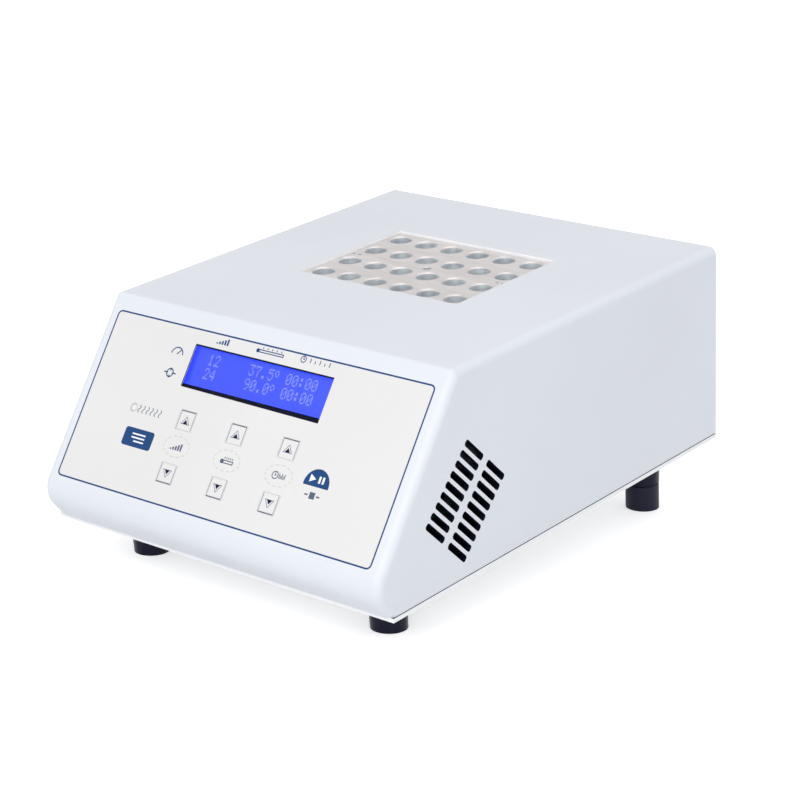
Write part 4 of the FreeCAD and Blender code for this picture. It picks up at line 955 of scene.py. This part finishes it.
def make_feet():
    """Two front feet, and two rear feet that stand on their extensions."""
    top = -PLATE_THICKNESS
    bottom = top - FOOT_HEIGHT
    head = [(FOOT_TOP_RADIUS - FOOT_EDGE / 2, top), (FOOT_TOP_RADIUS, top - FOOT_EDGE / 2)]
    front, rear, risers = [], [], []
    for side, x in (("left", -FOOT_HALF_SPREAD), ("right", FOOT_HALF_SPREAD)):
        front.append(foot(
            f"front_foot_{side}", x, FRONT_FOOT, top,
            [
                *head, (FOOT_BOTTOM_RADIUS, bottom + FOOT_STRAIGHT), (FOOT_BOTTOM_RADIUS, None),
            ],
            foot_gloss,
        ))
        rear.append(foot(
            f"rear_foot_{side}", x, REAR_FOOT, top,
            [
                *head, (FOOT_BOTTOM_RADIUS, bottom + FOOT_EDGE / 2),
                (FOOT_BOTTOM_RADIUS - FOOT_EDGE / 2, bottom),
            ],
            foot_gloss,
        ))
        risers.append(foot(
            f"rear_riser_{side}", x, REAR_FOOT, bottom,
            [
                (RISER_RADIUS - FOOT_EDGE / 2, bottom), (RISER_RADIUS, bottom - FOOT_EDGE / 2),
                (RISER_RADIUS, None),
            ],
            foot_matt,
        ))
    for pieces, node in ((front, "front_feet"), (rear, "rear_feet"), (risers, "rear_foot_risers")):
        for piece in pieces:
            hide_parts(node)


# Studio

def make_floor():
    """A wide pale floor that shows white to the camera and keeps the soft shadow."""
    mesh = bpy.data.meshes.new("floor")
    corners = [
        (x * FLOOR_HALF, y * FLOOR_HALF, 0) for x, y in ((-1, -1), (1, -1), (1, 1), (-1, 1))
    ]
    mesh.from_pydata([tuple(Vector(corner) * MM) for corner in corners], [], [(0, 1, 2, 3)])
    floor = bpy.data.objects.new("floor", mesh)
    bpy.context.collection.objects.link(floor)

    material = bpy.data.materials.new("floor_paper")
    material.use_nodes = True
    tree = material.node_tree
    diffuse = shader_of(material)
    diffuse.inputs["Base Color"].default_value = (*FLOOR_COLOUR, 1)
    diffuse.inputs["Roughness"].default_value = FLOOR_ROUGHNESS
    glow = tree.nodes.new("ShaderNodeEmission")
    path = tree.nodes.new("ShaderNodeLightPath")
    seen = tree.nodes.new("ShaderNodeMath")
    seen.operation = "MAXIMUM"
    both = tree.nodes.new("ShaderNodeAddShader")
    scale = tree.nodes.new("ShaderNodeMath")
    scale.operation = "MULTIPLY"
    scale.inputs[1].default_value = FLOOR_GLOW
    output = next(n for n in tree.nodes if n.type == "OUTPUT_MATERIAL")
    tree.links.new(path.outputs["Is Camera Ray"], seen.inputs[0])
    tree.links.new(path.outputs["Is Glossy Ray"], seen.inputs[1])
    tree.links.new(seen.outputs[0], scale.inputs[0])
    tree.links.new(scale.outputs[0], glow.inputs["Strength"])
    tree.links.new(diffuse.outputs[0], both.inputs[0])
    tree.links.new(glow.outputs[0], both.inputs[1])
    tree.links.new(both.outputs[0], output.inputs["Surface"])
    mesh.materials.append(material)


def make_world():
    """White to the camera and through clear pieces, and a softer light on the object."""
    world = bpy.data.worlds.new("studio")
    bpy.context.scene.world = world
    world.use_nodes = True
    tree = world.node_tree
    background = next(n for n in tree.nodes if n.type == "BACKGROUND")
    background.inputs["Color"].default_value = (1, 1, 1, 1)
    path = tree.nodes.new("ShaderNodeLightPath")
    seen = tree.nodes.new("ShaderNodeMath")
    seen.operation = "MAXIMUM"
    strength = tree.nodes.new("ShaderNodeMapRange")
    strength.inputs["To Min"].default_value = AMBIENT
    strength.inputs["To Max"].default_value = 1.0
    tree.links.new(path.outputs["Is Camera Ray"], seen.inputs[0])
    tree.links.new(path.outputs["Is Transmission Ray"], seen.inputs[1])
    tree.links.new(seen.outputs[0], strength.inputs["Value"])
    tree.links.new(strength.outputs["Result"], background.inputs["Strength"])


def make_lamp(name, place, size, power):
    """A round area lamp that faces the point that the camera aims at."""
    light = bpy.data.lights.new(name, "AREA")
    light.energy = power
    light.shape = "DISK"
    light.size = size
    lamp = bpy.data.objects.new(name, light)
    bpy.context.collection.objects.link(lamp)
    lamp.location = Vector(place)
    aim = AIM * MM - lamp.location
    lamp.rotation_euler = aim.to_track_quat("-Z", "Y").to_euler()


def make_camera():
    """The photograph's view: aimed at a point, then shifted sideways and up in its own plane."""
    azimuth, elevation = math.radians(AZIMUTH), math.radians(ELEVATION)
    right = Vector((math.cos(azimuth), math.sin(azimuth), 0))
    back = Vector((
        math.sin(azimuth) * math.cos(elevation), -math.cos(azimuth) * math.cos(elevation),
        math.sin(elevation),
    ))
    up = back.cross(right)
    camera = bpy.data.objects.new("camera", bpy.data.cameras.new("camera"))
    bpy.context.collection.objects.link(camera)
    camera.data.lens = LENS
    camera.data.sensor_width = SENSOR_WIDTH
    camera.data.clip_start = CLIP_START
    place = AIM - AIM_SHIFT[0] * right - AIM_SHIFT[1] * up + DISTANCE * back
    turn = Matrix((right, up, back)).transposed().to_4x4()
    camera.matrix_world = Matrix.Translation(place * MM) @ turn
    bpy.context.scene.camera = camera


finish_nodes()
shade_floor()
shade_cover()
print_border()
paint_window_recess_shade()
print_headings()
print_lamp_marks()
print_ovals()
print_arrow_keys()
print_function_keys()
show_figures()
make_block()
make_feet()
make_floor()
make_world()
make_lamp("key_light", *KEY_LIGHT)
make_lamp("top_light", *TOP_LIGHT)
make_camera()
bpy.context.scene.view_settings.view_transform = "Standard"
